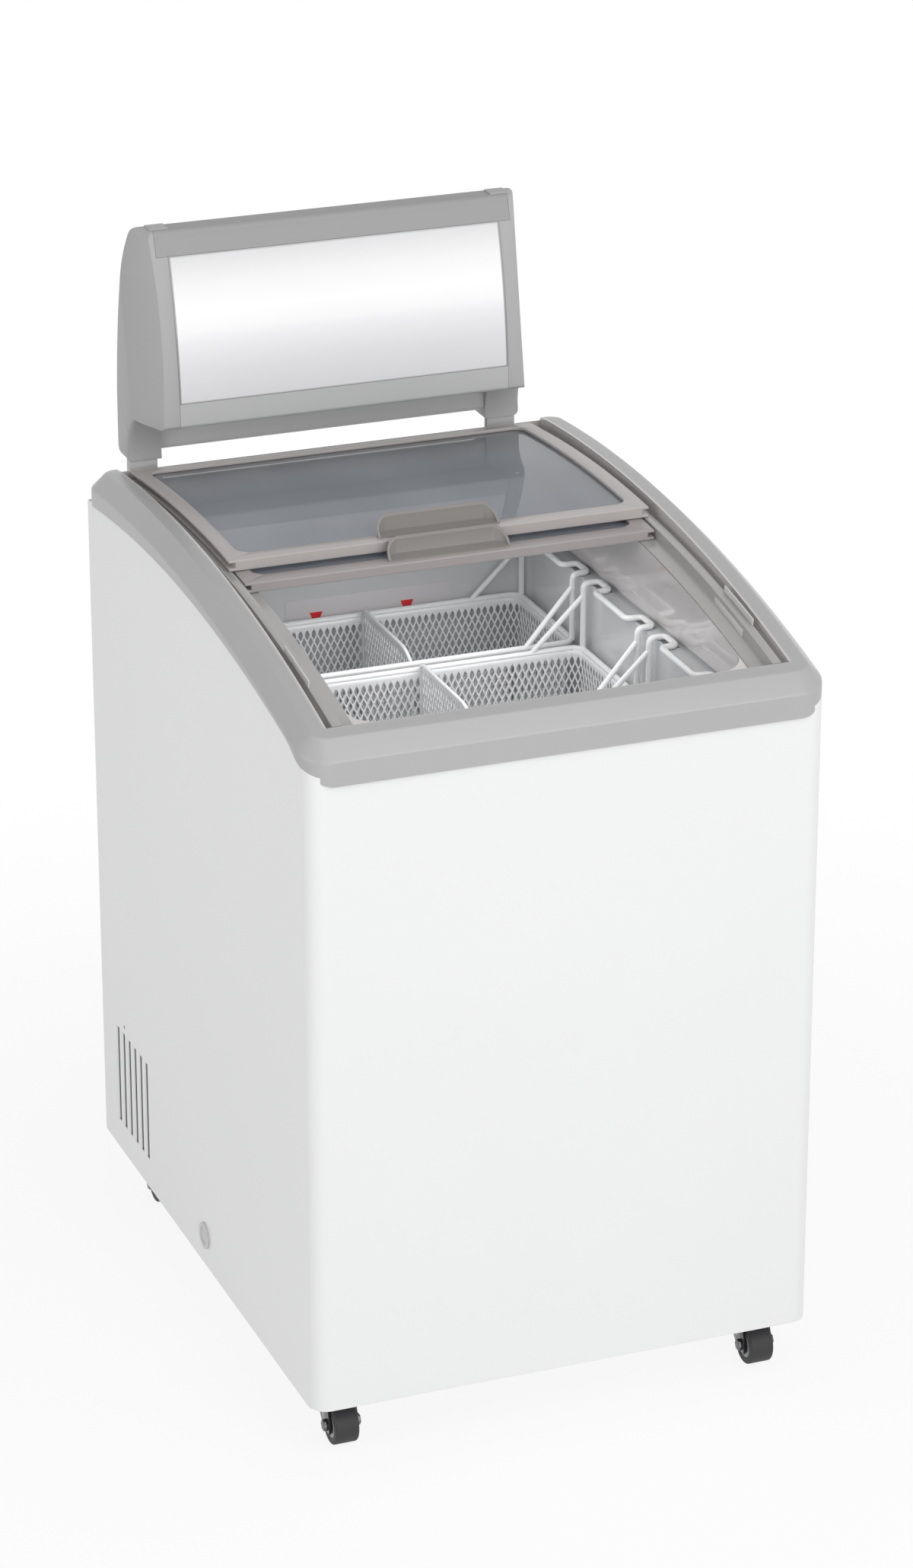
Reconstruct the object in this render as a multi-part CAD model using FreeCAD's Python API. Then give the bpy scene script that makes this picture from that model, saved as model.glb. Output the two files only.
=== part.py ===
import FreeCAD, Part
import math
import os

Vector = FreeCAD.Vector
X_AXIS = Vector(1, 0, 0)
Y_AXIS = Vector(0, 1, 0)
Z_AXIS = Vector(0, 0, 1)

# An ice cream chest freezer with two curved glass lids on concentric arc tracks, a lit sign
# canopy on two posts and four swivel castors. Millimetres, +Z up, the front looks along -Y,
# the origin lies on the floor under the middle of the whole object.

# Driving dimensions: cabinet
cabinet_width = 560.0
cabinet_depth = 708.0
underside_height = 62.0
corner_radius = 20.0
sheet = 1.2
base_sheet = 2.0
fit_gap = 0.3
foam_gap = 0.4

# Driving dimensions: the arch that the rim and the lids follow, seen from the side
arch_radius = 1896.0
arch_apex_from_front = 472.0
arch_apex_height = 839.0

# Driving dimensions: top frame, with levels measured outwards from the arch
rim_overhang = 3.0
rim_corner = 32.0
rim_bevel = 16.0
rim_soft_edge = 5.0
rim_front_level = 19.0
rim_rear_level = 36.0
rim_floor_level = 5.0
rim_floor_wall = 2.7
rim_side_width = 34.0
rim_rear_width = 11.0
rim_apron_drop = 22.0
rim_apron_start = 57.0
rim_apron_sag = 4.0
wall_front_overlap = 10.0
wall_front_relief = 60.0
lip_from_front = 28.0
mouth_from_front = 51.0
mouth_from_rear = 69.0
skirt_wall = 3.0
skirt_above_ledge = 4.0

# Driving dimensions: lid tracks and lids
recess_floor_width = 36.0
track_inner_gap = 0.5
track_outer_gap = 7.5
track_base = 1.5
track_ledge_width = 10.0
track_end_gap = 3.0
keeper_length = 70.0
keeper_from_front = 112.0
keeper_height = 7.5
keeper_wall = 1.5
lid_slide_gap = 0.5
lid_pass_gap = 1.0
upper_lid_side_gap = 13.5
lower_lid_step_in = 6.5
upper_lid_thickness = 12.0
lower_lid_thickness = 11.0
upper_lid_length = 338.0
lower_lid_length = 350.0
lower_lid_lead = 31.0
upper_lid_rear_gap = 4.0
lid_side_member = 17.0
lid_rear_member = 14.0
lid_front_rail = 18.0
glass_thickness = 4.0
glass_drop = 4.0
glass_bite = 6.0
glass_fit = 0.15
lid_window_corner = 14.0
lid_groove = 7.0
lid_groove_wall = 3.0
handle_length = 136.0
handle_height = 20.5
handle_corner = 16.0
handle_wall = 2.6
handle_floor = 1.2
handle_setback = 8.0
handle_pass_gap = 4.5

# Driving dimensions: tub, with its storage ledge and its step over the machine space
liner_wall = 1.5
ledge_height = 762.0
ledge_width = 20.0
end_ledge_width = 28.0
tub_floor_height = 116.0
tub_corner = 30.0
machine_depth = 190.0
machine_height = 208.0
step_wall = 34.0
coil_diameter = 7.0
coil_play = 0.5
coil_pitch = 44.0
coil_runs = 8
coil_below_ledge = 90.0
coil_rear_gap = 62.0

# Driving dimensions: baskets
basket_count = 3
basket_gap = 10.0
basket_end_gap = 6.5
basket_side_gap = 6.0
basket_rim_below_ledge = 72.0
basket_height = 190.0
basket_wall = 2.0
basket_wire = 6.0
basket_rim = 7.2
brace_wire = 5.0
basket_taper = 6.0
basket_corner = 16.0
hook_reach = 18.0
hook_span = 30.0
hook_bend = 7.0
brace_reach = 58.0
divider_wall = 2.0
divider_play = 0.4
divider_slack = 0.3
divider_rise = 5.0
divider_corner = 24.0

# Driving dimensions: sign canopy, in depth from the rear face of the cabinet
canopy_side_inset = 50.0
canopy_cap_width = 39.0
canopy_front_width = 19.0
canopy_flare = 0.38
canopy_above_rim = 39.0
canopy_height = 212.0
canopy_boss_drop = 54.0
canopy_bottom_rail = 28.0
canopy_top_rail = 27.0
canopy_round = 6.0
canopy_round_steps = 4
canopy_front_reach = 60.0
canopy_front_lean = 38.0
canopy_rear_reach = 48.0
canopy_rear_lean = 38.0
canopy_bulge = 8.0
canopy_edge = 7.0
canopy_low_edge = 5.0
canopy_corner = 9.0
canopy_rail_overlap = 13.0
canopy_tab_length = 18.0
canopy_tab_thickness = 1.5
canopy_wall = 3.0
canopy_scallop = 22.0
bar_front = 2.0
bar_depth = 22.0
bar_height = 46.0
bar_step = 4.0
bar_step_height = 22.0
lamp_diameter = 26.0
holder_length = 14.0
holder_size = 34.0
post_width = 32.0
post_thickness = 12.0
post_front = 12.0
post_below_foot = 170.0
post_tongue = 22.0
post_groove = 4.0
post_bolt = 6.0
post_bolt_head = 13.0
post_bolt_head_height = 4.0
cap_screw = 4.0
cap_screw_head = 8.0
cap_screw_head_height = 2.5
cap_screw_length = 12.0
cap_screw_inset = 14.0

# Driving dimensions: side wall details
vent_count = 6
vent_length = 118.0
vent_width = 12.0
vent_slot = 4.5
vent_depth = 4.0
vent_first_from_rear = 55.0
vent_pitch = 20.5
vent_bottom = 98.0
side_hole = 5.0
side_hole_from_rear = 80.0
side_hole_height = 225.0
drain_from_front = 350.0
drain_height = 98.0
drain_tube_outer = 14.0
drain_tube_inner = 10.0
drain_bend = 16.0
drain_inlet_inset = 60.0
drain_cap_diameter = 30.0
drain_cap_flange = 2.0
drain_plug_length = 9.0
drain_plug_play = 0.2

# Driving dimensions: machine space
panel_sheet = 1.2
grille_slots = 9
grille_slot_pitch = 16.0
grille_slot_height = 5.0
grille_slot_length = 150.0
compressor_radius = 68.0
compressor_height = 150.0
compressor_dome = 38.0
compressor_crown = 37.0
compressor_foot = 8.0
compressor_foot_size = 176.0
compressor_foot_depth = 120.0
compressor_from_wall = 162.0
condenser_width = 40.0
condenser_from_wall = 14.0
condenser_depth = 136.0
condenser_height = 152.0
condenser_end_plate = 2.0
condenser_fins = 22
condenser_fin = 0.8
condenser_tube = 8.0
condenser_rows = 4
fan_diameter = 124.0
fan_gap = 18.0
fan_hub = 38.0
fan_hub_length = 20.0
fan_blades = 5
fan_blade_wall = 2.0
fan_blade_pitch = 25.0
fan_shaft = 5.0
fan_running_gap = 0.05
fan_shaft_out = 24.0
motor_size = 56.0
motor_length = 46.0
motor_bracket = 3.0
drier_diameter = 20.0
drier_length = 92.0
drier_neck = 7.0
drier_stem = 6.0
control_height = 44.0
control_depth = 21.0
thermostat_height = 190.0
thermostat_from_wall = 220.0
knob_diameter = 36.0
knob_height = 14.0
knob_stem = 6.0
knob_play = 0.05
rocker_width = 12.0
rocker_length = 20.0
rocker_stand = 4.0
rocker_pin = 2.4
rocker_pin_reach = 1.8
switch_from_wall = 150.0
switch_bezel = 3.0
rocker_play = 1.6
gland_diameter = 22.0
gland_length = 12.0
gland_bore = 9.0
gland_from_wall = 60.0
gland_height = 110.0

# Driving dimensions: castors
castor_side_inset = 44.0
castor_front_inset = 56.0
castor_rear_inset = 64.0
castor_trail = 14.0
wheel_diameter = 44.0
wheel_width = 26.0
wheel_recess = 2.0
wheel_ring_outer = 15.0
wheel_ring_inner = 10.0
castor_plate = 2.5
castor_plate_size = 50.0
castor_bearing = 15.0
castor_bearing_height = 5.0
castor_pin = 4.0
castor_running_gap = 0.05
castor_axial_gap = 0.3
fork_disc = 16.0
fork_wall = 2.2
fork_front_reach = 12.8
fork_rear_reach = 9.6
fork_side_gap = 1.0
axle_radius = 4.0
axle_head = 6.5
axle_head_height = 4.0

# Worked out: overall placing
total_depth = cabinet_depth + rim_overhang + canopy_rear_reach
half_width = cabinet_width / 2
front_y = -total_depth / 2 + rim_overhang
rear_y = front_y + cabinet_depth
rim_half = half_width + rim_overhang
rim_front_y = front_y - rim_overhang
rim_rear_y = rear_y + rim_overhang
arch_y = front_y + arch_apex_from_front
arch_z = arch_apex_height - arch_radius
wall_top_level = rim_floor_level - rim_floor_wall - fit_gap
recess_half = rim_half - rim_side_width
recess_front_y = front_y + lip_from_front
recess_rear_y = rim_rear_y - rim_rear_width
mouth_half = recess_half - recess_floor_width
mouth_front_y = front_y + mouth_from_front
mouth_rear_y = rear_y - mouth_from_rear
skirt_bottom = ledge_height + skirt_above_ledge
base_top = underside_height + base_sheet
machine_front_y = rear_y - machine_depth
machine_top = base_top + machine_height
tall = arch_apex_height + 5 * rim_rear_level

# Worked out: levels of the lids above the arch
track_level = rim_floor_level + track_base
lower_lid_low = track_level + lid_slide_gap
lower_lid_high = lower_lid_low + lower_lid_thickness
upper_lid_low = lower_lid_high + lid_pass_gap
upper_lid_high = upper_lid_low + upper_lid_thickness
track_ledge_level = upper_lid_low - lid_slide_gap
upper_lid_half = recess_half - upper_lid_side_gap
lower_lid_half = upper_lid_half - lower_lid_step_in
upper_lid_rear_y = recess_rear_y - upper_lid_rear_gap
upper_lid_front_y = upper_lid_rear_y - upper_lid_length
lower_lid_front_y = upper_lid_front_y - lower_lid_lead
lower_lid_rear_y = lower_lid_front_y + lower_lid_length
handle_depth = lower_lid_lead - handle_setback - handle_pass_gap

# Worked out: sign canopy
canopy_half_width = half_width - canopy_side_inset
canopy_front_bottom = arch_apex_height + rim_rear_level + canopy_above_rim
canopy_top = canopy_front_bottom + canopy_height
canopy_foot = canopy_front_bottom - canopy_boss_drop
canopy_panel_bottom = canopy_front_bottom + canopy_bottom_rail
canopy_panel_top = canopy_top - canopy_top_rail
lamp_height = (canopy_panel_bottom + canopy_panel_top) / 2
post_foot = canopy_foot - post_below_foot

# Worked out: tub
liner_upper_half = mouth_half + skirt_wall + fit_gap
liner_upper_front_y = mouth_front_y - skirt_wall - fit_gap
liner_upper_rear_y = mouth_rear_y + skirt_wall + fit_gap
liner_half = liner_upper_half - ledge_width
liner_front_y = liner_upper_front_y + end_ledge_width
liner_rear_y = liner_upper_rear_y - end_ledge_width
step_front_y = machine_front_y - step_wall
step_top = machine_top + step_wall
coil_space = coil_diameter + 2 * coil_play


def save(name, shape):
    """Writes one piece under its node name."""
    shape.exportStep("parts/" + name + ".step")
    print(name, len(shape.Solids), "solids", round(shape.Volume / 1000.0, 1), "cm3", shape.isValid())


def block(x0, x1, y0, y1, z0, z1):
    """A box between two corners."""
    return Part.makeBox(x1 - x0, y1 - y0, z1 - z0, Vector(x0, y0, z0))


def rod(radius, length, start, axis):
    """A round bar from a point along an axis."""
    return Part.makeCylinder(radius, length, start, axis)


def pipe(outer, inner, length, start, axis):
    """A round bar with a bore."""
    return rod(outer, length, start, axis).cut(rod(inner, length, start, axis))


def mirrored(shape):
    """The same piece on the other side of the middle plane."""
    return shape.mirror(Vector(0, 0, 0), X_AXIS)


def fused(shapes):
    """Shapes joined into one solid."""
    return shapes[0].multiFuse(shapes[1:]).removeSplitter()


def rounded_block(x0, x1, y0, y1, z0, z1, front_radius, rear_radius):
    """A box whose upright edges are rounded, front and rear apart."""
    solid = block(x0, x1, y0, y1, z0, z1)
    middle = (y0 + y1) / 2
    for radius, front in ((front_radius, True), (rear_radius, False)):
        if radius > 0:
            edges = []
            for edge in solid.Edges:
                first, last = edge.Vertexes[0].Point, edge.Vertexes[-1].Point
                upright = abs(first.z - last.z) > (z1 - z0) / 2
                if upright and (first.y < middle) == front:
                    edges.append(edge)
            solid = solid.makeFillet(radius, edges)
    return solid


def arch_rise(y, level):
    """Height of the arch at a depth, over its own apex, for a level outside it."""
    return math.sqrt((arch_radius + level) ** 2 - (y - arch_y) ** 2) - arch_radius


def arch_height(y, level):
    """Height of the arch at a depth, over the floor, for a level outside it."""
    return arch_apex_height + arch_rise(y, level)


def arch_angle(y, level):
    """Turn about the arch axis, in degrees, forwards from upright."""
    return math.degrees(math.asin((arch_y - y) / (arch_radius + level)))


def below_arch(level):
    """All that lies inside the arch at a level, across the cabinet's width and more."""
    return rod(arch_radius + level, 4 * half_width, Vector(-2 * half_width, arch_y, arch_z), X_AXIS)


def under_frame(level):
    """The room that the walls have under the frame: below the arch, and lower along the front."""
    low_y = front_y
    high_y = front_y + wall_front_relief
    low_z = arch_height(rim_front_y, 0) - rim_apron_drop + wall_front_overlap + level
    high_z = arch_height(high_y, wall_top_level) + level
    slope = (high_z - low_z) / (high_y - low_y)
    ahead = low_y - wall_front_relief
    behind = low_y + 2 * cabinet_depth
    corners = [
        (ahead, low_z - slope * wall_front_relief), (behind, low_z + slope * 2 * cabinet_depth),
        (behind, 0), (ahead, 0),
    ]
    wedge = side_prism(corners, -2 * half_width, 2 * half_width)
    return below_arch(wall_top_level + level).common(wedge)


def arch_strip(section, front, rear, level):
    """A section of (x, level) points swept along the arch between two depths."""
    points = [Vector(x, arch_y, arch_z + arch_radius + rise) for x, rise in section]
    face = Part.Face(Part.makePolygon(points + points[:1]))
    centre = Vector(0, arch_y, arch_z)
    face.rotate(centre, X_AXIS, arch_angle(rear, level))
    return face.revolve(centre, X_AXIS, arch_angle(front, level) - arch_angle(rear, level))


def arch_plate(half, low, high, front, rear):
    """A curved plate between two levels and two depths."""
    section = [(-half, low), (half, low), (half, high), (-half, high)]
    return arch_strip(section, front, rear, high)


def side_prism(points, x0, x1):
    """A prism across the width from (y, z) corners."""
    corners = [Vector(x0, y, z) for y, z in points]
    return Part.Face(Part.makePolygon(corners + corners[:1])).extrude(Vector(x1 - x0, 0, 0))


def bent_wire(points, bend):
    """Straight runs joined by tangent arcs of one bend radius."""
    edges = []
    start = points[0]
    for before, corner, after in zip(points, points[1:], points[2:]):
        into = (before - corner).normalize()
        out = (after - corner).normalize()
        half_turn = into.getAngle(out) / 2
        reach = bend / math.tan(half_turn)
        first = corner + into * reach
        last = corner + out * reach
        to_centre = (into + out).normalize()
        middle = corner + to_centre * (bend / math.sin(half_turn) - bend)
        edges.append(Part.LineSegment(start, first).toShape())
        edges.append(Part.Arc(first, middle, last).toShape())
        start = last
    edges.append(Part.LineSegment(start, points[-1]).toShape())
    return Part.Wire(edges)


def tube(points, radius, bend):
    """A round wire or tube along bent runs."""
    path = bent_wire(points, bend)
    heading = points[1] - points[0]
    ring = Part.Wire(Part.makeCircle(radius, points[0], heading))
    return path.makePipeShell([ring], True, False)


def hexagon(radius, height, start, axis_x):
    """A hexagonal head along X, from a start point."""
    corners = []
    for i in range(6):
        angle = math.radians(60 * i)
        corners.append(start + Vector(0, radius * math.cos(angle), radius * math.sin(angle)))
    return Part.Face(Part.makePolygon(corners + corners[:1])).extrude(Vector(axis_x * height, 0, 0))


# Cabinet: a folded sheet for front and sides, a rear panel, a base tray and foam
def vent_places():
    """Depths of the middles of the louvres in the left side, beside the condenser."""
    return [rear_y - vent_first_from_rear - i * vent_pitch for i in range(vent_count)]


def vent_cuts():
    """Upright windows through the left side."""
    x = -half_width
    half = vent_width / 2
    top = vent_bottom + vent_length
    return [block(x - sheet, x + 2 * sheet, y - half, y + half, vent_bottom, top) for y in vent_places()]


def vent_blades():
    """Blades pressed inwards, level with the sheet at their rear edge and open along their front edge."""
    x = -half_width
    blades = []
    for y in vent_places():
        hinge = y + vent_width / 2
        free = y - vent_width / 2 + vent_slot
        corners = [
            Vector(x, hinge, vent_bottom), Vector(x + sheet, hinge, vent_bottom),
            Vector(x + sheet + vent_depth, free, vent_bottom), Vector(x + vent_depth, free, vent_bottom),
        ]
        face = Part.Face(Part.makePolygon(corners + corners[:1]))
        blades.append(face.extrude(Vector(0, 0, vent_length)))
    return blades


def cabinet_shell():
    outer = rounded_block(
        -half_width, half_width, front_y, rear_y, underside_height, tall, corner_radius, 0
    )
    inner = rounded_block(
        -half_width + sheet, half_width - sheet, front_y + sheet, rear_y + sheet,
        underside_height - sheet, tall + sheet, corner_radius - sheet, 0
    )
    shell = outer.cut(inner).common(under_frame(0))
    left = -half_width - sheet
    drain = rod(
        drain_tube_outer / 2 + fit_gap, 4 * sheet,
        Vector(left, front_y + drain_from_front, drain_height), X_AXIS
    )
    hole = rod(side_hole / 2, 4 * sheet, Vector(left, rear_y - side_hole_from_rear, side_hole_height), X_AXIS)
    return fused([shell.cut(vent_cuts() + [drain, hole])] + vent_blades())


def inside_of_shell(gap, z0, z1):
    """The space inside the folded sheet, less a gap."""
    inset = sheet + gap
    return rounded_block(
        -half_width + inset, half_width - inset, front_y + inset, rear_y - panel_sheet - gap,
        z0, z1, corner_radius - sheet, 0
    )


def rear_panel():
    panel = block(
        -half_width + sheet + fit_gap, half_width - sheet - fit_gap,
        rear_y - panel_sheet, rear_y, machine_top + fit_gap, tall
    ).common(under_frame(0))
    holes = []
    for side in (-1, 1):
        for z in post_bolt_heights():
            holes.append(rod(
                post_bolt / 2 + fit_gap, 4 * panel_sheet,
                Vector(side * post_x(), rear_y - 2 * panel_sheet, z), Y_AXIS
            ))
    return panel.cut(holes)


def base_tray():
    return inside_of_shell(fit_gap, underside_height, base_top)


def tub_space(grow, floor_grow):
    """The storage space, grown all round, with its step over the machine space."""
    lower = rounded_block(
        -liner_half - grow, liner_half + grow, liner_front_y - grow, liner_rear_y + grow,
        tub_floor_height - floor_grow, ledge_height, tub_corner + grow, tub_corner + grow
    )
    step = block(
        -2 * half_width, 2 * half_width, step_front_y + grow, 2 * rear_y,
        0, step_top - floor_grow
    )
    upper_grow = min(grow, liner_wall)
    upper = rounded_block(
        -liner_upper_half - upper_grow, liner_upper_half + upper_grow,
        liner_upper_front_y - upper_grow, liner_upper_rear_y + upper_grow,
        ledge_height - floor_grow, tall, tub_corner + upper_grow, tub_corner + upper_grow
    )
    return fused([lower.cut(step), upper])


def inner_liner():
    shell = tub_space(liner_wall, liner_wall).cut(tub_space(0, 0))
    return shell.common(under_frame(0)).cut(drain_bore())


def drain_points():
    """The drain runs from the tub floor down and out to the left side."""
    y = front_y + drain_from_front
    inlet_x = -liner_half + drain_inlet_inset
    return [
        Vector(inlet_x, y, tub_floor_height),
        Vector(inlet_x, y, drain_height),
        Vector(-half_width, y, drain_height),
    ]


def drain_solid(radius):
    return tube(drain_points(), radius, drain_bend)


def drain_bore():
    return drain_solid(drain_tube_outer / 2 + fit_gap)


def drain_tube():
    return drain_solid(drain_tube_outer / 2).cut(drain_solid(drain_tube_inner / 2))


def insulation_foam():
    mass = inside_of_shell(foam_gap, base_top, tall).common(under_frame(0))
    cavity = tub_space(liner_wall + coil_space, liner_wall)
    machine = block(-half_width, half_width, machine_front_y, 2 * rear_y, 0, machine_top)
    return mass.cut([cavity, machine, drain_bore()])


def evaporator_coil():
    """One tube that runs round three sides of the tub, back and forth."""
    offset = liner_wall + coil_play + coil_diameter / 2
    x = liner_half + offset
    y_front = liner_front_y - offset
    y_rear = liner_rear_y - coil_rear_gap
    bend = tub_corner + offset
    turn = coil_pitch / 2
    top = ledge_height - coil_below_ledge
    edges = []
    for run in range(coil_runs):
        z = top - run * coil_pitch
        side = 1 if run % 2 else -1
        stations = [
            Vector(side * x, y_rear, z),
            Vector(side * x, y_front, z),
            Vector(-side * x, y_front, z),
            Vector(-side * x, y_rear, z),
        ]
        edges += bent_wire(stations, bend).Edges
        if run < coil_runs - 1:
            end = stations[-1]
            edges.append(Part.Arc(
                end, end + Vector(0, turn, -turn), end + Vector(0, 0, -coil_pitch)
            ).toShape())
    start = Vector(-x, y_rear, top)
    ring = Part.Wire(Part.makeCircle(coil_diameter / 2, start, Y_AXIS))
    return Part.Wire(edges).makePipeShell([ring], True, False)


# Top frame: one moulding that caps the walls, with a bevelled outer edge and an inner skirt
def rim_level(y):
    """The level of the frame's top, which climbs over the arch towards the rear."""
    share = (y - rim_front_y) / (rim_rear_y - rim_front_y)
    return rim_front_level + share * (rim_rear_level - rim_front_level)


def rim_profile():
    """Side view of the frame between its lower edge and its top, with heights over the apex."""
    apron_y = front_y + rim_apron_start
    apron_z = arch_rise(rim_front_y, 0) - rim_apron_drop
    top_rear = Vector(0, rim_rear_y, arch_rise(rim_rear_y, rim_rear_level))
    top_front = Vector(0, rim_front_y, arch_rise(rim_front_y, rim_front_level))
    top_middle_y = (rim_front_y + rim_rear_y) / 2
    top_middle = Vector(0, top_middle_y, arch_rise(top_middle_y, rim_level(top_middle_y)))
    low_front = Vector(0, rim_front_y, apron_z)
    low_start = Vector(0, apron_y, arch_rise(apron_y, 0))
    low_rear = Vector(0, rim_rear_y, arch_rise(rim_rear_y, 0))
    low_middle_y = (apron_y + rim_rear_y) / 2
    low_middle = Vector(0, low_middle_y, arch_rise(low_middle_y, 0))
    apron_middle = (low_front + low_start) / 2 + Vector(0, -rim_apron_sag, rim_apron_sag)
    edges = [
        Part.Arc(top_rear, top_middle, top_front).toShape(),
        Part.LineSegment(top_front, low_front).toShape(),
        Part.Arc(low_front, apron_middle, low_start).toShape(),
        Part.Arc(low_start, low_middle, low_rear).toShape(),
        Part.LineSegment(low_rear, top_rear).toShape(),
    ]
    face = Part.Face(Part.Wire(edges))
    face.translate(Vector(-rim_half, 0, 0))
    return face


def rim_edges(shape, drop, reach):
    """The edges that run round the frame at a drop under its top, within reach."""
    chosen = []
    for edge in shape.Edges:
        middle = edge.valueAt((edge.FirstParameter + edge.LastParameter) / 2)
        height = math.hypot(middle.y - arch_y, middle.z + arch_radius) - arch_radius
        if abs(rim_level(middle.y) - drop - height) < reach:
            chosen.append(edge)
    return chosen


def rim_blank():
    """The frame's outer form: rounded in plan, bevelled along its top edge, both bevel edges softened."""
    profile = rim_profile().extrude(Vector(2 * rim_half, 0, 0))
    reach = 5 * rim_rear_level
    plan = rounded_block(
        -rim_half, rim_half, rim_front_y, rim_rear_y, -reach, reach, rim_corner, rim_corner
    )
    blank = profile.common(plan)
    blank = blank.makeChamfer(rim_bevel, rim_edges(blank, 0, rim_soft_edge))
    creases = rim_edges(blank, 0, rim_soft_edge / 2) + rim_edges(blank, rim_bevel, rim_soft_edge / 2)
    blank = blank.makeFillet(rim_soft_edge, creases)
    blank.translate(Vector(0, 0, arch_apex_height))
    return blank


def top_frame():
    underside = rounded_block(
        -half_width - fit_gap, half_width + fit_gap, front_y - fit_gap, rear_y + fit_gap,
        underside_height, tall, corner_radius + fit_gap, 0
    ).common(under_frame(fit_gap))
    recess = block(
        -recess_half, recess_half, recess_front_y, recess_rear_y, underside_height, tall
    ).cut(below_arch(rim_floor_level))
    mouth = rounded_block(
        -mouth_half, mouth_half, mouth_front_y, mouth_rear_y, underside_height, tall,
        tub_corner - skirt_wall, tub_corner - skirt_wall
    )
    skirt = rounded_block(
        -mouth_half - skirt_wall, mouth_half + skirt_wall,
        mouth_front_y - skirt_wall, mouth_rear_y + skirt_wall,
        skirt_bottom, tall, tub_corner, tub_corner
    ).common(below_arch(rim_floor_level))
    return fused([rim_blank().cut(underside), skirt]).cut([recess, mouth])


def lid_track(side):
    """A stepped guide: the lower lid runs on its base, the upper lid on its ledge."""
    inner = mouth_half + track_inner_gap
    outer = recess_half - track_outer_gap
    ledge = outer - track_ledge_width
    seat = rim_floor_level + fit_gap
    section = [
        (side * inner, seat), (side * outer, seat),
        (side * outer, track_ledge_level), (side * ledge, track_ledge_level),
        (side * ledge, track_level), (side * inner, track_level),
    ]
    front, rear = recess_front_y + track_end_gap, recess_rear_y - track_end_gap
    return arch_strip(section, front, rear, track_ledge_level)


def lid_keeper_clips():
    """Upright clips beside both runs of each track, which keep the lids in line."""
    front = recess_front_y + keeper_from_front - keeper_length / 2
    rear = front + keeper_length
    outer = recess_half - track_outer_gap
    ledge = outer - track_ledge_width
    clips = []
    for side in (-1, 1):
        for x, level in ((outer - keeper_wall, track_ledge_level), (ledge - keeper_wall, track_level)):
            section = [
                (side * x, level), (side * (x + keeper_wall), level),
                (side * (x + keeper_wall), level + keeper_height), (side * x, level + keeper_height),
            ]
            clips.append(arch_strip(section, front, rear, 0))
    return Part.makeCompound(clips)


# Lids: a glass pane in a frame with a front rail and a finger fin
def lid_pane(half, low, high, front, rear, play):
    top = high - glass_drop + play
    return arch_plate(
        half - lid_side_member + glass_bite + play, top - glass_thickness - 2 * play, top,
        front + lid_front_rail - glass_bite - play, rear - lid_rear_member + glass_bite + play
    )


def lid_grooves(half, low, high, front, rear):
    """The channel along both outer sides of a lid, open at its ends."""
    floor, roof = low + lid_groove_wall, high - lid_groove_wall
    grooves = []
    for side in (-1, 1):
        section = [
            (side * (half - lid_groove), floor), (side * 2 * half, floor),
            (side * 2 * half, roof), (side * (half - lid_groove), roof),
        ]
        grooves.append(arch_strip(section, front - lid_groove, rear + lid_groove, 0))
    return grooves


def lid_frame(half, low, high, front, rear):
    plate = arch_plate(half, low, high, front, rear)
    window_half = half - lid_side_member
    window_front, window_rear = front + lid_front_rail, rear - lid_rear_member
    window = rounded_block(
        -window_half, window_half, window_front, window_rear, 0, tall, lid_window_corner, lid_window_corner
    )
    pane = lid_pane(half, low, high, front, rear, glass_fit)
    return plate.cut([window, pane] + lid_grooves(half, low, high, front, rear))


def handle_bowl(y, foot, inset):
    """The scoop's outline from above, drawn in by an inset at its ends and rear."""
    half = handle_length / 2 - inset
    return rounded_block(
        -half, half, y - inset, y + handle_depth - inset, foot - handle_depth,
        foot + 2 * handle_height, 0, handle_corner - inset
    )


def lid_handle(high, front):
    """A finger scoop on the front rail: its wall rises from the front edge and curves round at both ends."""
    y = front + handle_setback
    foot = arch_height(y, high)
    rear = y + handle_depth
    slope = side_prism(
        [(y, foot - handle_depth), (rear, foot - handle_depth),
         (rear, foot + handle_height), (y, foot + handle_floor)],
        -handle_length, handle_length
    )
    scoop = handle_bowl(y, foot, 0).common(slope).cut(below_arch(high))
    hollow = handle_bowl(y, foot, handle_wall).cut(below_arch(high + handle_floor))
    return scoop.cut(hollow)


# Baskets: taper-walled tubs on wire hangers, each with one divider
def basket_length():
    room = liner_rear_y - liner_front_y - 2 * basket_end_gap - (basket_count - 1) * basket_gap
    return room / basket_count


def basket_middle(index):
    """Depth of a basket's middle, counted from the rear."""
    step = basket_length() + basket_gap
    return liner_rear_y - basket_end_gap - basket_length() / 2 - index * step


def basket_tub(half, length, middle, top, bottom):
    """A tapered box, narrower at its floor."""
    rings = []
    for z, narrow in ((bottom, basket_taper), (top, 0)):
        x = half - narrow
        y = length / 2 - narrow
        corners = [
            Vector(-x, middle - y, z), Vector(x, middle - y, z),
            Vector(x, middle + y, z), Vector(-x, middle + y, z),
        ]
        rings.append(Part.makePolygon(corners + corners[:1]))
    return Part.makeLoft(rings, True, True)


def basket_sizes():
    """Half width, height of the rim wire and height of the floor."""
    half = liner_half - basket_side_gap
    rim = ledge_height - basket_rim_below_ledge
    return half, rim, rim - basket_height


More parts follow.
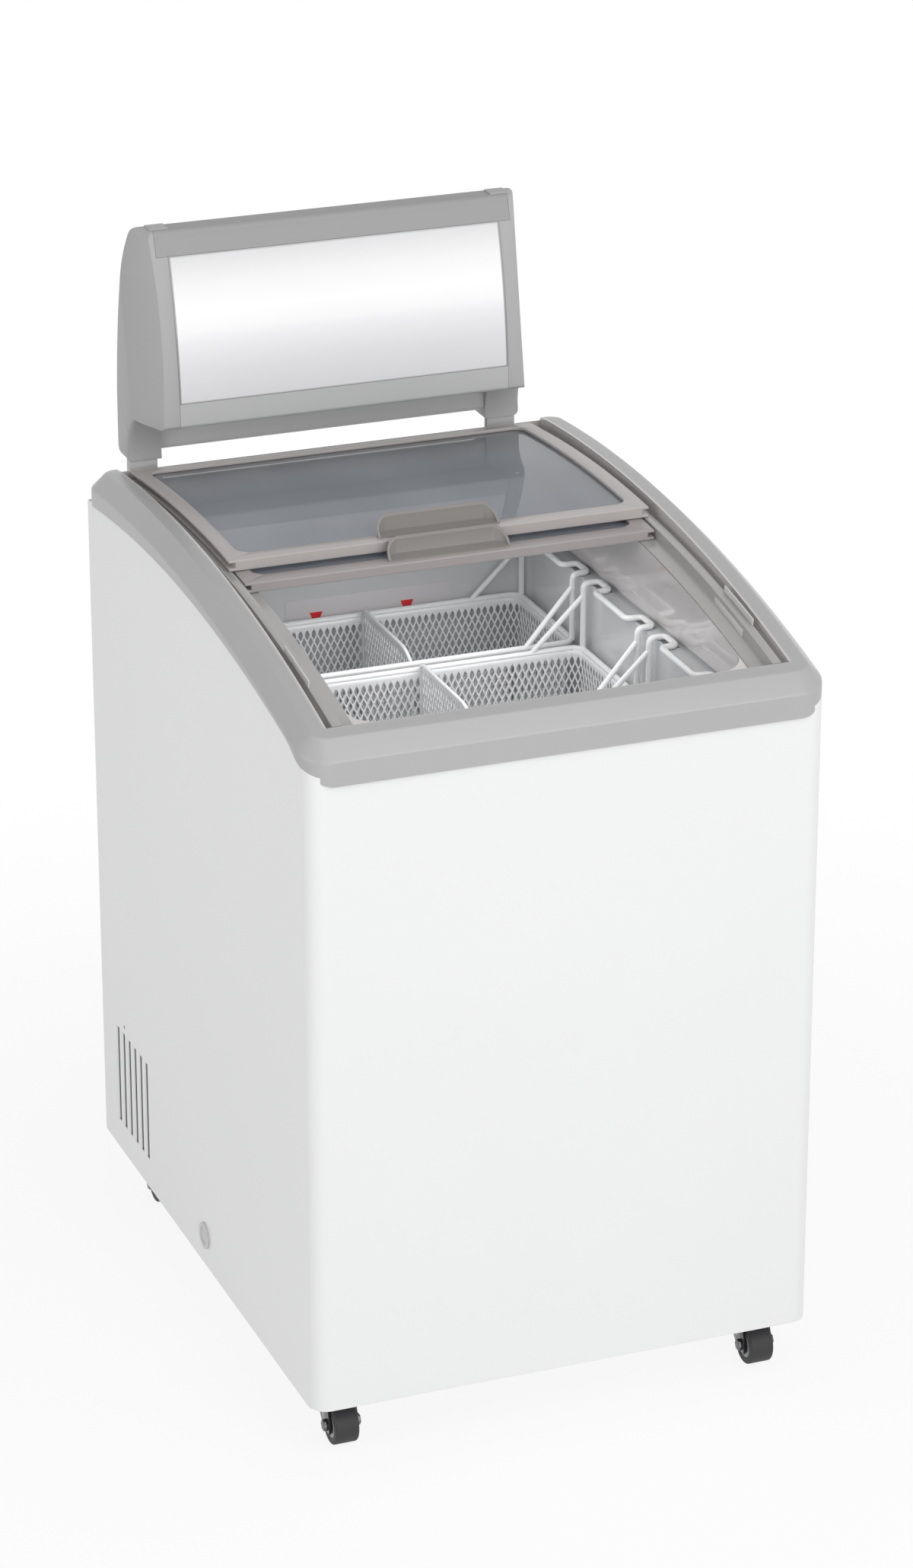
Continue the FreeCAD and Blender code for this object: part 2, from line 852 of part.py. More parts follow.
def basket_hanger(half, rim, length, middle):
    """The right-hand wire: two hooks over the ledge, two legs and two braces to the long sides."""
    wire = basket_wire / 2
    leg_x = half - basket_rim / 2
    hook_x = leg_x + hook_reach
    hook_z = ledge_height + fit_gap + wire
    near = length / 2 - basket_rim / 2 - basket_wire
    far = near - hook_span
    route = [
        Vector(leg_x, middle - near, rim), Vector(leg_x, middle - near, hook_z),
        Vector(hook_x, middle - near, hook_z), Vector(hook_x, middle - far, hook_z),
        Vector(leg_x, middle - far, hook_z), Vector(leg_x, middle + far, hook_z),
        Vector(hook_x, middle + far, hook_z), Vector(hook_x, middle + near, hook_z),
        Vector(leg_x, middle + near, hook_z), Vector(leg_x, middle + near, rim),
    ]
    pieces = [tube(route, wire, hook_bend)]
    for end in (-1, 1):
        top = Vector(leg_x, middle + end * near, hook_z - 2 * hook_bend)
        foot = Vector(leg_x - brace_reach, middle + end * (length - basket_rim) / 2, rim)
        pieces.append(rod(brace_wire / 2, (foot - top).Length, top, foot - top))
    return fused(pieces)


def basket(index):
    half, rim, floor = basket_sizes()
    length = basket_length()
    middle = basket_middle(index)
    inner_half = half - basket_rim
    inner_length = length - 2 * basket_rim
    outer = basket_tub(inner_half + basket_wall, inner_length + 2 * basket_wall, middle, rim, floor)
    inner = basket_tub(inner_half, inner_length, middle, rim + basket_rim, floor + basket_wall)
    band = rounded_block(
        -half, half, middle - length / 2, middle + length / 2,
        rim - basket_rim / 2, rim + basket_rim / 2, basket_corner, basket_corner
    )
    hanger = basket_hanger(half, rim, length, middle)
    return fused([outer, band, hanger, mirrored(hanger)]).cut(inner)


def basket_divider(index):
    half, rim, floor = basket_sizes()
    middle = basket_middle(index)
    low = floor + basket_wall + divider_play
    high = rim + basket_rim / 2 + divider_rise
    reach = basket_length() / 2 - basket_rim - divider_play - divider_slack
    foot = reach - basket_taper
    corners = [
        (middle - foot, low), (middle + foot, low), (middle + reach, rim), (middle + reach, high),
        (middle - reach + divider_corner, high), (middle - reach, high - divider_corner / 2),
    ]
    return side_prism(corners, -divider_wall / 2, divider_wall / 2)


# Sign canopy: two end caps on posts, with rails, panels and a lamp between them
def corner_arc(start, corner, end):
    """A rounded corner between two points of an outline."""
    middle = corner + ((start + end) / 2 - corner) * (2 - math.sqrt(2))
    return Part.Arc(start, middle, end).toShape()


def canopy_outline(inset, with_boss):
    """Side view of the canopy, drawn in by an inset: bowed leaning front and rear, rounded edges."""
    front = rear_y - canopy_front_reach + inset
    rear = rear_y + canopy_rear_reach - inset
    low = canopy_front_bottom + inset
    high = canopy_top - inset
    front_low = Vector(0, front, low + canopy_low_edge)
    front_high = Vector(0, front + canopy_front_lean, high - canopy_edge)
    rear_low = Vector(0, rear, low + canopy_low_edge)
    rear_high = Vector(0, rear - canopy_rear_lean, high - canopy_edge)
    top_front = Vector(0, front_high.y + canopy_edge, high)
    top_rear = Vector(0, rear_high.y - canopy_edge, high)
    front_bow = (front_low + front_high) / 2 - Vector(0, canopy_bulge, 0)
    rear_bow = (rear_low + rear_high) / 2 + Vector(0, canopy_bulge, 0)
    low_front = Vector(0, front + canopy_low_edge, low)
    low_rear = Vector(0, rear - canopy_low_edge, low)
    edges = [
        Part.Arc(front_low, front_bow, front_high).toShape(),
        corner_arc(front_high, Vector(0, front_high.y, top_front.z), top_front),
        Part.LineSegment(top_front, top_rear).toShape(),
        corner_arc(top_rear, Vector(0, rear_high.y, top_rear.z), rear_high),
        Part.Arc(rear_high, rear_bow, rear_low).toShape(),
    ]
    if with_boss:
        foot = canopy_foot + inset
        boss_rear = Vector(0, rear, foot + canopy_edge)
        boss_low = Vector(0, rear - canopy_edge, foot)
        boss_front = Vector(0, rear_y + post_front - canopy_wall, foot)
        scallop_end = Vector(0, boss_front.y - canopy_scallop, low)
        scallop = Vector(0, boss_front.y - canopy_scallop / 4, (foot + 2 * low) / 3)
        edges += [
            Part.LineSegment(rear_low, boss_rear).toShape(),
            corner_arc(boss_rear, Vector(0, boss_rear.y, boss_low.z), boss_low),
            Part.LineSegment(boss_low, boss_front).toShape(),
            Part.Arc(boss_front, scallop, scallop_end).toShape(),
            Part.LineSegment(scallop_end, low_front).toShape(),
        ]
    else:
        edges += [
            corner_arc(rear_low, Vector(0, rear_low.y, low_rear.z), low_rear),
            Part.LineSegment(low_rear, low_front).toShape(),
        ]
    edges.append(corner_arc(low_front, Vector(0, front_low.y, low_front.z), front_low))
    return Part.Wire(edges)


def canopy_prism(inset, x0, x1, with_boss):
    face = Part.Face(canopy_outline(inset, with_boss))
    face.translate(Vector(x0, 0, 0))
    return face.extrude(Vector(x1 - x0, 0, 0))


def post_x():
    return canopy_half_width - canopy_wall - post_width / 2


def post_bolt_heights():
    low = post_foot + post_width / 2
    return [low, low + 2 * post_width]


def screw_place(side):
    x = canopy_inner() + cap_screw_inset
    y = rear_y - canopy_front_reach + canopy_edge + cap_screw_head
    return Vector(side * x, y, canopy_front_bottom)


def canopy_inner():
    """Half the width between the end caps."""
    return canopy_half_width - canopy_cap_width


def cap_pocket_end():
    """How far the hollow of an end cap reaches outwards."""
    return canopy_inner() + canopy_front_width - canopy_wall


def cap_flank():
    """All that lies inside the right cap's flank, which spreads to the rear and rounds at the top."""
    front = rear_y - canopy_front_reach
    back_lean = canopy_flare * canopy_front_lean / canopy_height
    edge_x = canopy_inner() + canopy_front_width
    top_x = edge_x - back_lean * canopy_height
    low = canopy_foot - canopy_corner
    start = Vector(top_x + back_lean * canopy_corner, front, canopy_top - canopy_corner)
    corner = Vector(top_x, front, canopy_top)
    end = Vector(top_x - canopy_corner, front, canopy_top)
    foot = Vector(edge_x + back_lean * (canopy_front_bottom - low), front, low)
    inner_low, inner_high = Vector(0, front, low), Vector(0, front, canopy_top)
    face = Part.Face(Part.Wire([
        Part.LineSegment(inner_low, foot).toShape(), Part.LineSegment(foot, start).toShape(),
        corner_arc(start, corner, end), Part.LineSegment(end, inner_high).toShape(),
        Part.LineSegment(inner_high, inner_low).toShape(),
    ]))
    reach = canopy_front_reach + canopy_rear_reach
    face.translate(Vector(-canopy_flare * reach, -reach, 0))
    return face.extrude(Vector(canopy_flare * 3 * reach, 3 * reach, 0))


def canopy_cap(side):
    """A hollow cap with a spreading flank, a tab over the top rail and the boss that takes the post."""
    inner = canopy_inner()
    shoulder = canopy_half_width - canopy_round
    rings = [canopy_outline(0, True)]
    rings[0].translate(Vector(inner, 0, 0))
    for step in range(canopy_round_steps + 1):
        turn = math.radians(90.0 * step / canopy_round_steps)
        ring = canopy_outline(canopy_round * (1 - math.cos(turn)), True)
        ring.translate(Vector(shoulder + canopy_round * math.sin(turn), 0, 0))
        rings.append(ring)
    cap = Part.makeLoft(rings, True, True).common(cap_flank())
    pocket = canopy_prism(canopy_wall, inner - canopy_wall, cap_pocket_end(), False)
    rail_end = inner + canopy_rail_overlap
    rail_room = block(0, rail_end + fit_gap, -cabinet_depth, cabinet_depth, canopy_panel_top, 2 * canopy_top)
    screw = screw_place(1)
    hole = rod(cap_screw / 2, canopy_wall, screw, Z_AXIS)
    cap = cap.cut([pocket, rail_room, post_blank(fit_gap), hole])
    tab_front = rear_y - canopy_front_reach + canopy_front_lean + canopy_edge
    tab_rear = rear_y + canopy_rear_reach - canopy_rear_lean - canopy_edge
    tab = block(
        rail_end - canopy_tab_length, rail_end + canopy_wall, tab_front, tab_rear,
        canopy_top, canopy_top + canopy_tab_thickness
    )
    cap = fused([cap, tab])
    return cap if side > 0 else mirrored(cap)


def canopy_slice(half, y0, y1, z0, z1):
    """A part of the ring-shaped section between the caps."""
    ring = canopy_prism(0, -half, half, False).cut(canopy_prism(canopy_wall, -half, half, False))
    return ring.common(block(-half, half, y0, y1, z0, z1))


def canopy_middle_y():
    return rear_y + (canopy_rear_reach - canopy_front_reach) / 2


def canopy_pieces():
    far = 2 * cabinet_depth
    middle = canopy_middle_y()
    half = canopy_inner() - fit_gap
    rail_half = canopy_inner() + canopy_rail_overlap
    return {
        "canopy_top_rail": canopy_slice(rail_half, -far, far, canopy_panel_top + fit_gap, 2 * canopy_top),
        "canopy_front_panel": canopy_slice(half, -far, middle, canopy_panel_bottom, canopy_panel_top),
        "canopy_bottom_rail": canopy_slice(half, -far, far, 0, canopy_panel_bottom - fit_gap),
        "canopy_back_panel": canopy_slice(half, middle, far, canopy_panel_bottom, canopy_panel_top),
    }


def canopy_cross_bar():
    inner = canopy_inner() - fit_gap
    y0 = rear_y + bar_front + post_front
    bar = block(-inner, inner, y0, y0 + bar_depth, canopy_front_bottom - fit_gap - bar_height,
                canopy_front_bottom - fit_gap)
    edges = []
    for edge in bar.Edges:
        middle = edge.valueAt((edge.FirstParameter + edge.LastParameter) / 2)
        if abs(middle.x) < 1e-6 and middle.z < canopy_front_bottom - bar_height:
            edges.append(edge)
    step = block(
        -2 * inner, 2 * inner, y0 - bar_step, y0 + bar_step,
        canopy_front_bottom - fit_gap - bar_step_height, canopy_top
    )
    return bar.makeFillet(bar_depth / 3, edges).cut(step)


def lamp_y():
    return canopy_middle_y() + canopy_bulge


def canopy_lamp():
    inner = canopy_inner() - holder_length
    return rod(lamp_diameter / 2, 2 * inner, Vector(-inner, lamp_y(), lamp_height), X_AXIS)


def canopy_lamp_holders():
    """Sockets on the inner walls of both end caps."""
    holders = []
    for side in (-1, 1):
        wall = cap_pocket_end()
        start = canopy_inner() - holder_length
        size = holder_size / 2
        low, high = sorted((side * start, side * wall))
        holders.append(block(
            low, high, lamp_y() - size, lamp_y() + size, lamp_height - size, lamp_height + size
        ))
    return Part.makeCompound(holders)


def post_blank(play):
    """A flat post behind the frame; with play it is the pocket that the post enters."""
    x = post_x()
    half = post_width / 2 + play
    y0 = rear_y + post_front - play
    return block(
        x - half, x + half, y0, y0 + post_thickness + 2 * play,
        post_foot, canopy_foot + post_tongue + play
    )


def canopy_post(side):
    post = post_blank(0)
    x = post_x()
    pads = []
    holes = []
    for z in post_bolt_heights():
        pads.append(rod(post_width / 3, post_front, Vector(x, rear_y, z), Y_AXIS))
        holes.append(rod(
            post_bolt / 2 + fit_gap, 4 * post_thickness, Vector(x, rear_y - post_thickness, z), Y_AXIS
        ))
    groove_x = x - post_width / 2
    middle = rear_y + post_front + post_thickness / 2
    groove = block(
        groove_x, groove_x + post_groove, middle - post_groove / 2, middle + post_groove / 2,
        post_foot, canopy_top
    )
    post = fused([post] + pads).cut(holes + [groove])
    return post if side > 0 else mirrored(post)


def post_bolts():
    bolts = []
    for side in (-1, 1):
        for z in post_bolt_heights():
            outside = rear_y + post_front + post_thickness
            inside = rear_y - panel_sheet - post_bolt
            x = side * post_x()
            shank = rod(post_bolt / 2, outside - inside, Vector(x, inside, z), Y_AXIS)
            head = rod(post_bolt_head / 2, post_bolt_head_height, Vector(x, outside, z), Y_AXIS)
            bolts.append(fused([shank, head]))
    return Part.makeCompound(bolts)


def foam_bolt_holes():
    """Sockets in the foam behind the rear panel for the post bolts."""
    holes = []
    for side in (-1, 1):
        for z in post_bolt_heights():
            start = Vector(side * post_x(), rear_y - panel_sheet - 2 * post_bolt, z)
            holes.append(rod(post_bolt / 2 + fit_gap, 4 * post_bolt, start, Y_AXIS))
    return holes


def canopy_screws():
    screws = []
    for side in (-1, 1):
        place = screw_place(side)
        head = rod(
            cap_screw_head / 2, cap_screw_head_height,
            place - Vector(0, 0, cap_screw_head_height), Z_AXIS
        )
        shank = rod(cap_screw / 2 - fit_gap / 2, cap_screw_length, place, Z_AXIS)
        screws.append(fused([head, shank]))
    return Part.makeCompound(screws)


# Machine space: compressor, condenser with fan, drier, controls and the rear cover
def grille_controls():
    """Places of the knob, the switch and the cable gland on the rear cover."""
    return {
        "knob": Vector(half_width - thermostat_from_wall, rear_y, thermostat_height),
        "switch": Vector(half_width - switch_from_wall, rear_y, thermostat_height),
        "gland": Vector(half_width - gland_from_wall, rear_y, gland_height),
    }


def machine_grille():
    cover = block(
        -half_width + sheet + fit_gap, half_width - sheet - fit_gap,
        rear_y - panel_sheet, rear_y, base_top + fit_gap, machine_top
    )
    cuts = []
    first = (base_top + machine_top - (grille_slots - 1) * grille_slot_pitch) / 2
    for i in range(grille_slots):
        z = first + i * grille_slot_pitch
        x1 = -sheet
        x0 = x1 - grille_slot_length
        cuts.append(block(
            x0, x1, rear_y - 2 * panel_sheet, rear_y + panel_sheet,
            z - grille_slot_height / 2, z + grille_slot_height / 2
        ))
    places = grille_controls()
    back = Vector(0, 2 * panel_sheet, 0)
    cuts.append(rod(knob_stem / 2 + fit_gap, 4 * panel_sheet, places["knob"] - back, Y_AXIS))
    cuts.append(rod(gland_diameter / 2 - gland_length / 4, 4 * panel_sheet, places["gland"] - back, Y_AXIS))
    switch = places["switch"]
    cuts.append(block(
        switch.x - rocker_width / 2 - switch_bezel, switch.x + rocker_width / 2 + switch_bezel,
        rear_y - 2 * panel_sheet, rear_y + panel_sheet,
        switch.z - rocker_length / 2 - switch_bezel, switch.z + rocker_length / 2 + switch_bezel
    ))
    return cover.cut(cuts)


def machine_middle_y():
    return (machine_front_y + rear_y) / 2


def compressor():
    """A welded pot on a foot plate."""
    y = machine_middle_y()
    x = half_width - compressor_from_wall
    foot = block(
        x - compressor_foot_size / 2, x + compressor_foot_size / 2,
        y - compressor_foot_depth / 2, y + compressor_foot_depth / 2,
        base_top, base_top + compressor_foot
    )
    body_height = compressor_height - compressor_dome
    body = rod(compressor_radius, body_height, Vector(x, y, base_top + compressor_foot), Z_AXIS)
    dome = Part.makeCone(
        compressor_radius, compressor_crown, compressor_dome,
        Vector(x, y, base_top + compressor_foot + body_height), Z_AXIS
    )
    return fused([foot, body, dome])


def condenser_left():
    return -half_width + sheet + condenser_from_wall


def condenser():
    """A finned block: upright fins on straight tubes between two end plates."""
    x0 = condenser_left()
    x1 = x0 + condenser_width
    y0 = machine_middle_y() - condenser_depth / 2
    y1 = y0 + condenser_depth
    z1 = base_top + condenser_height
    pieces = []
    for y in (y0, y1 - condenser_end_plate):
        pieces.append(block(x0, x1, y, y + condenser_end_plate, base_top, z1))
    step = (condenser_depth - 2 * condenser_end_plate) / (condenser_fins + 1)
    for i in range(condenser_fins):
        y = y0 + condenser_end_plate + (i + 1) * step - condenser_fin / 2
        pieces.append(block(x0, x1, y, y + condenser_fin, base_top + condenser_fin, z1 - condenser_fin))
    for row in range(condenser_rows):
        z = base_top + (row + 0.5) * condenser_height / condenser_rows
        for x in (x0 + condenser_width / 4, x1 - condenser_width / 4):
            pieces.append(rod(condenser_tube / 2, condenser_depth, Vector(x, y0, z), Y_AXIS))
    return fused(pieces)


def fan_place():
    """The middle of the fan's blade disc."""
    x = condenser_left() + condenser_width + fan_gap
    return Vector(x, machine_middle_y(), base_top + condenser_height / 2)


def fan_motor():
    """The motor on its bracket, with the shaft towards the condenser."""
    place = fan_place()
    face_x = place.x + fan_hub_length + fit_gap
    half = motor_size / 2
    motor = block(
        face_x, face_x + motor_length, place.y - half, place.y + half, place.z - half, place.z + half
    )
    foot = block(
        face_x, face_x + motor_bracket, place.y - motor_size, place.y + motor_size, base_top, place.z + half
    )
    ledge = block(
        face_x, face_x + motor_length, place.y - motor_size, place.y + motor_size,
        base_top, base_top + motor_bracket
    )
    shaft_start = Vector(face_x - fan_shaft_out + fit_gap, place.y, place.z)
    shaft = rod(fan_shaft / 2, fan_shaft_out, shaft_start, X_AXIS)
    return fused([motor, foot, ledge, shaft])


def fan_blade():
    """A hub with pitched blades, bored for the motor shaft."""
    place = fan_place()
    hub = rod(fan_hub / 2, fan_hub_length, place, X_AXIS)
    blade_tip = fan_diameter / 2
    pieces = [hub]
    for i in range(fan_blades):
        blade = block(
            -fan_blade_wall / 2, fan_blade_wall / 2, -fan_hub / 2, fan_hub / 2, fan_hub / 4, blade_tip
        )
        blade.rotate(Vector(0, 0, 0), Z_AXIS, fan_blade_pitch)
        blade.translate(Vector(fan_hub_length / 2, 0, 0))
        blade.rotate(Vector(0, 0, 0), X_AXIS, 360.0 * i / fan_blades)
        blade.translate(place)
        pieces.append(blade)
    bore = rod(
        fan_shaft / 2 + fan_running_gap, 2 * fan_hub_length,
        place - Vector(fan_hub_length / 2, 0, 0), X_AXIS
    )
    return fused(pieces).cut(bore)


def filter_drier():
    """A copper cartridge on the machine floor, in front of the fan and the compressor."""
    place = fan_place()
    foot_edge = half_width - compressor_from_wall - compressor_foot_size / 2
    x = (place.x + fan_hub_length + motor_length + foot_edge) / 2
    y = machine_front_y + drier_diameter
    low = Vector(x, y, base_top)
    stem = rod(drier_stem / 2, drier_stem * 2, low, Z_AXIS)
    neck = Part.makeCone(
        drier_stem / 2, drier_diameter / 2, drier_neck, low + Vector(0, 0, drier_stem * 2), Z_AXIS
    )
    body = rod(drier_diameter / 2, drier_length, low + Vector(0, 0, drier_stem * 2 + drier_neck), Z_AXIS)
    return fused([stem, neck, body])


def rocker_pin_rod(play):
    """The rocker's pin across the switch well; with play it is the bore that the pin turns in."""
    place = grille_controls()["switch"]
    reach = rocker_width / 2 + rocker_pin_reach + play
    return rod(rocker_pin / 2 + play, 2 * reach, place - Vector(reach, 0, 0), X_AXIS)


def control_box():
    """One housing behind the rear cover: the thermostat with its stem, and the switch's well."""
    knob = grille_controls()["knob"]
    switch = grille_controls()["switch"]
    half = control_height / 2
    back = rear_y - panel_sheet
    box = block(
        knob.x - half, switch.x + half, back - control_depth, back, knob.z - half, knob.z + half
    )
    stem = rod(knob_stem / 2, knob_height, Vector(knob.x, back, knob.z), Y_AXIS)
    wide = rocker_width / 2 + switch_bezel
    high = rocker_length / 2 + switch_bezel
    collar = block(
        switch.x - wide + fit_gap, switch.x + wide - fit_gap, back, rear_y + switch_bezel,
        switch.z - high + fit_gap, switch.z + high - fit_gap
    )
    well = block(
        switch.x - rocker_width / 2 - fit_gap, switch.x + rocker_width / 2 + fit_gap,
        back - control_depth / 2, rear_y + 2 * switch_bezel,
        switch.z - rocker_length / 2 - rocker_play, switch.z + rocker_length / 2 + rocker_play
    )
    return fused([box, stem, collar]).cut([well, rocker_pin_rod(knob_play)])


def thermostat_knob():
    place = grille_controls()["knob"]
    start = place + Vector(0, fit_gap, 0)
    body = rod(knob_diameter / 2, knob_height, start, Y_AXIS)
    bar = block(
        place.x - knob_stem / 2, place.x + knob_stem / 2, start.y, start.y + knob_height + knob_stem / 2,
        place.z - knob_diameter / 2, place.z + knob_diameter / 2
    )
    bore = rod(knob_stem / 2 + knob_play, knob_height, place - Vector(0, panel_sheet, 0), Y_AXIS)
    return fused([body, bar]).cut(bore)


def light_switch():
    """A rocker that tips about a pin line across its middle."""
    place = grille_controls()["switch"]
    half = rocker_length / 2
    front = rear_y + switch_bezel
    corners = [
        (front, place.z - half), (front + rocker_stand, place.z - half), (front, place.z),
        (front + rocker_stand / 4, place.z + half), (front - switch_bezel, place.z + half),
        (front - 2 * switch_bezel, place.z), (front - switch_bezel, place.z - half),
    ]
    body = side_prism(corners, place.x - rocker_width / 2, place.x + rocker_width / 2)
    return fused([body, rocker_pin_rod(0)])


def power_inlet():
    """A bush in the rear cover where the supply lead enters."""
    place = grille_controls()["gland"]
    collar = rod(gland_diameter / 2, gland_length / 2, place, Y_AXIS)
    neck_radius = gland_diameter / 2 - gland_length / 4 - fit_gap
    neck = rod(neck_radius, gland_length, place - Vector(0, gland_length, 0), Y_AXIS)
    bore = rod(gland_bore / 2, 3 * gland_length, place - Vector(0, 1.5 * gland_length, 0), Y_AXIS)
    return fused([collar, neck]).cut(bore)


def drain_cap():
    """A round cover with a dished face and a plug that pulls out of the drain tube."""
    place = Vector(-half_width, front_y + drain_from_front, drain_height)
    outside = place - Vector(drain_cap_flange, 0, 0)
    cover = rod(drain_cap_diameter / 2, drain_cap_flange, outside, X_AXIS)
    dish = rod(drain_cap_diameter / 3, drain_cap_flange / 2, outside, X_AXIS)
    plug = rod(drain_tube_inner / 2 - drain_plug_play, drain_plug_length, place, X_AXIS)
    return fused([cover.cut(dish), plug])


# Castors: plate with bearing and pin, swivel fork, axle bolt and moulded wheel
def castor_places():
    x = half_width - castor_side_inset
    front = front_y + castor_front_inset
    rear = rear_y - castor_rear_inset
    return {
        "front_left": Vector(-x, front, 0), "front_right": Vector(x, front, 0),
        "rear_left": Vector(-x, rear, 0), "rear_right": Vector(x, rear, 0),
    }


def fork_top():
    return underside_height - castor_plate - castor_bearing_height - castor_axial_gap


def castor_plates():
    plates = []
    for place in castor_places().values():
        half = castor_plate_size / 2
        top = underside_height
        plate = block(place.x - half, place.x + half, place.y - half, place.y + half, top - castor_plate, top)
        bearing = rod(
            castor_bearing, castor_bearing_height,
            place + Vector(0, 0, top - castor_plate - castor_bearing_height), Z_AXIS
        )
        pin_low = fork_top() - 2 * fork_wall
        pin = rod(castor_pin, top - pin_low, place + Vector(0, 0, pin_low), Z_AXIS)
        plates.append(fused([plate, bearing, pin]))
    return Part.makeCompound(plates)


def fork_leg_x():
    """Distance from the wheel's middle to the inner face of a fork leg."""
    return wheel_width / 2 + fork_side_gap


def castor_fork(place):
    top = fork_top()
    disc = rod(fork_disc, fork_wall, place + Vector(0, 0, top - fork_wall), Z_AXIS)
    leg_x = fork_leg_x()
    axle_y = place.y - castor_trail
    axle_z = wheel_diameter / 2
    boss = 2 * axle_radius
    plate = block(
        place.x - leg_x - fork_wall, place.x + leg_x + fork_wall, place.y - fork_front_reach,
        place.y + fork_rear_reach, top - fork_wall, top
    )
    corners = [
        (place.y + fork_rear_reach, top), (place.y - fork_front_reach, top),
        (axle_y - boss, axle_z + boss), (axle_y - boss, axle_z - boss),
        (axle_y + boss, axle_z - boss), (place.y + fork_rear_reach, axle_z + boss),
    ]
    pieces = [disc, plate]
    for x0 in (place.x - leg_x - fork_wall, place.x + leg_x):
        pieces.append(side_prism(corners, x0, x0 + fork_wall))
    pin_hole = rod(
        castor_pin + castor_running_gap, 4 * fork_wall, place + Vector(0, 0, top - 2 * fork_wall), Z_AXIS
    )
    wide = 2 * (leg_x + 2 * fork_wall)
    axle_hole = rod(
        axle_radius + castor_running_gap, wide, Vector(place.x - wide / 2, axle_y, axle_z), X_AXIS
    )
    return fused(pieces).cut([pin_hole, axle_hole])


def castor_axle(place):
    """A hexagon bolt through the fork, with its nut."""
    leg = fork_leg_x() + fork_wall
    centre = Vector(place.x, place.y - castor_trail, wheel_diameter / 2)
    shank = rod(axle_radius, 2 * leg, centre - Vector(leg, 0, 0), X_AXIS)
    head = hexagon(axle_head, axle_head_height, centre - Vector(leg, 0, 0), -1)
    nut = hexagon(axle_head, axle_head_height, centre + Vector(leg, 0, 0), 1)
    return fused([shank, head, nut])


def castor_wheel(place):
    """A moulded wheel with a rounded tread and a recessed ring on both faces."""
    centre = Vector(place.x, place.y - castor_trail, wheel_diameter / 2)
    start = centre - Vector(wheel_width / 2, 0, 0)
    wheel = rod(wheel_diameter / 2, wheel_width, start, X_AXIS)
    wheel = wheel.makeFillet(wheel_recess, [edge for edge in wheel.Edges if len(edge.Vertexes) == 1])
    bore_start = start - Vector(wheel_width / 2, 0, 0)
    cuts = [rod(axle_radius + castor_running_gap, 2 * wheel_width, bore_start, X_AXIS)]
    for x in (start.x, start.x + wheel_width - wheel_recess):
        cuts.append(pipe(
            wheel_ring_outer, wheel_ring_inner, wheel_recess, Vector(x, centre.y, centre.z), X_AXIS
        ))
    return wheel.cut(cuts)


os.makedirs("parts", exist_ok=True)

save("cabinet_shell", cabinet_shell())
save("rear_panel", rear_panel())
save("base_tray", base_tray())
save("insulation_foam", insulation_foam().cut(foam_bolt_holes()))
save("inner_liner", inner_liner())
save("evaporator_coil", evaporator_coil())
save("drain_tube", drain_tube())
save("drain_cap", drain_cap())
save("top_frame", top_frame())
for name, side in (("left", -1), ("right", 1)):
    save("lid_track_" + name, lid_track(side))
    save("canopy_cap_" + name, canopy_cap(side))
    save("canopy_post_" + name, canopy_post(side))
save("lid_keeper_clips", lid_keeper_clips())

upper_lid = (upper_lid_half, upper_lid_low, upper_lid_high, upper_lid_front_y, upper_lid_rear_y)
lower_lid = (lower_lid_half, lower_lid_low, lower_lid_high, lower_lid_front_y, lower_lid_rear_y)
for name, lid in (("upper_lid", upper_lid), ("lower_lid", lower_lid)):
    save(name + "_frame", lid_frame(*lid))
    save(name + "_glass", lid_pane(*lid, 0))
    save(name + "_handle", lid_handle(lid[2], lid[3]))

for index, name in enumerate(("rear", "middle", "front")):
    save("basket_" + name, basket(index))
    save("divider_" + name, basket_divider(index))

for name, piece in canopy_pieces().items():
    save(name, piece)
save("canopy_cross_bar", canopy_cross_bar())
save("canopy_lamp", canopy_lamp())
save("canopy_lamp_holders", canopy_lamp_holders())
save("canopy_screws", canopy_screws())
save("post_bolts", post_bolts())

save("machine_grille", machine_grille())
save("compressor", compressor())
save("condenser", condenser())
save("fan_motor", fan_motor())
save("fan_blade", fan_blade())
save("filter_drier", filter_drier())
save("control_box", control_box())
save("thermostat_knob", thermostat_knob())
save("light_switch", light_switch())
save("power_inlet", power_inlet())

save("castor_plates", castor_plates())
for name, place in castor_places().items():
    save("castor_" + name + "_fork", castor_fork(place))
    save("castor_" + name + "_axle", castor_axle(place))
    save("castor_" + name + "_wheel", castor_wheel(place))
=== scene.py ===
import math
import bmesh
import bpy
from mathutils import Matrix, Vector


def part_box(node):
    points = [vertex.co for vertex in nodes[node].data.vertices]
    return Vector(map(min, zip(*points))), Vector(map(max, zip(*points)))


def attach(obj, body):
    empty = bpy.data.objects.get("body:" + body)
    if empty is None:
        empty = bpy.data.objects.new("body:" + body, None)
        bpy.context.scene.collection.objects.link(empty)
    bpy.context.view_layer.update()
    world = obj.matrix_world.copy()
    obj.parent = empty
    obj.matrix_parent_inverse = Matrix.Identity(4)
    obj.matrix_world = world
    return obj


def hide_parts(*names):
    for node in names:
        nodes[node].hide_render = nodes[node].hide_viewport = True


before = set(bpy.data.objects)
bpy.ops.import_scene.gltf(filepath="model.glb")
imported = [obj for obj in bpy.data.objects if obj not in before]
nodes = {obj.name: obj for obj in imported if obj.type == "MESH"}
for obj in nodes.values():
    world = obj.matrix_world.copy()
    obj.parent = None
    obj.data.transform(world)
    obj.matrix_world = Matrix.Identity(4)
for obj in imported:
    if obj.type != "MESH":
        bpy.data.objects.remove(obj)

# %% [markdown]
# # Dressing an ice cream freezer
# The solids of the freezer are already loaded: every node sits where it was
# drawn, in metres, with its front towards -Y. This lesson gives each piece its
# finish and builds the pieces that solids are too plain for, such as the mesh
# baskets. First come the tools, and the millimetre as a yardstick.

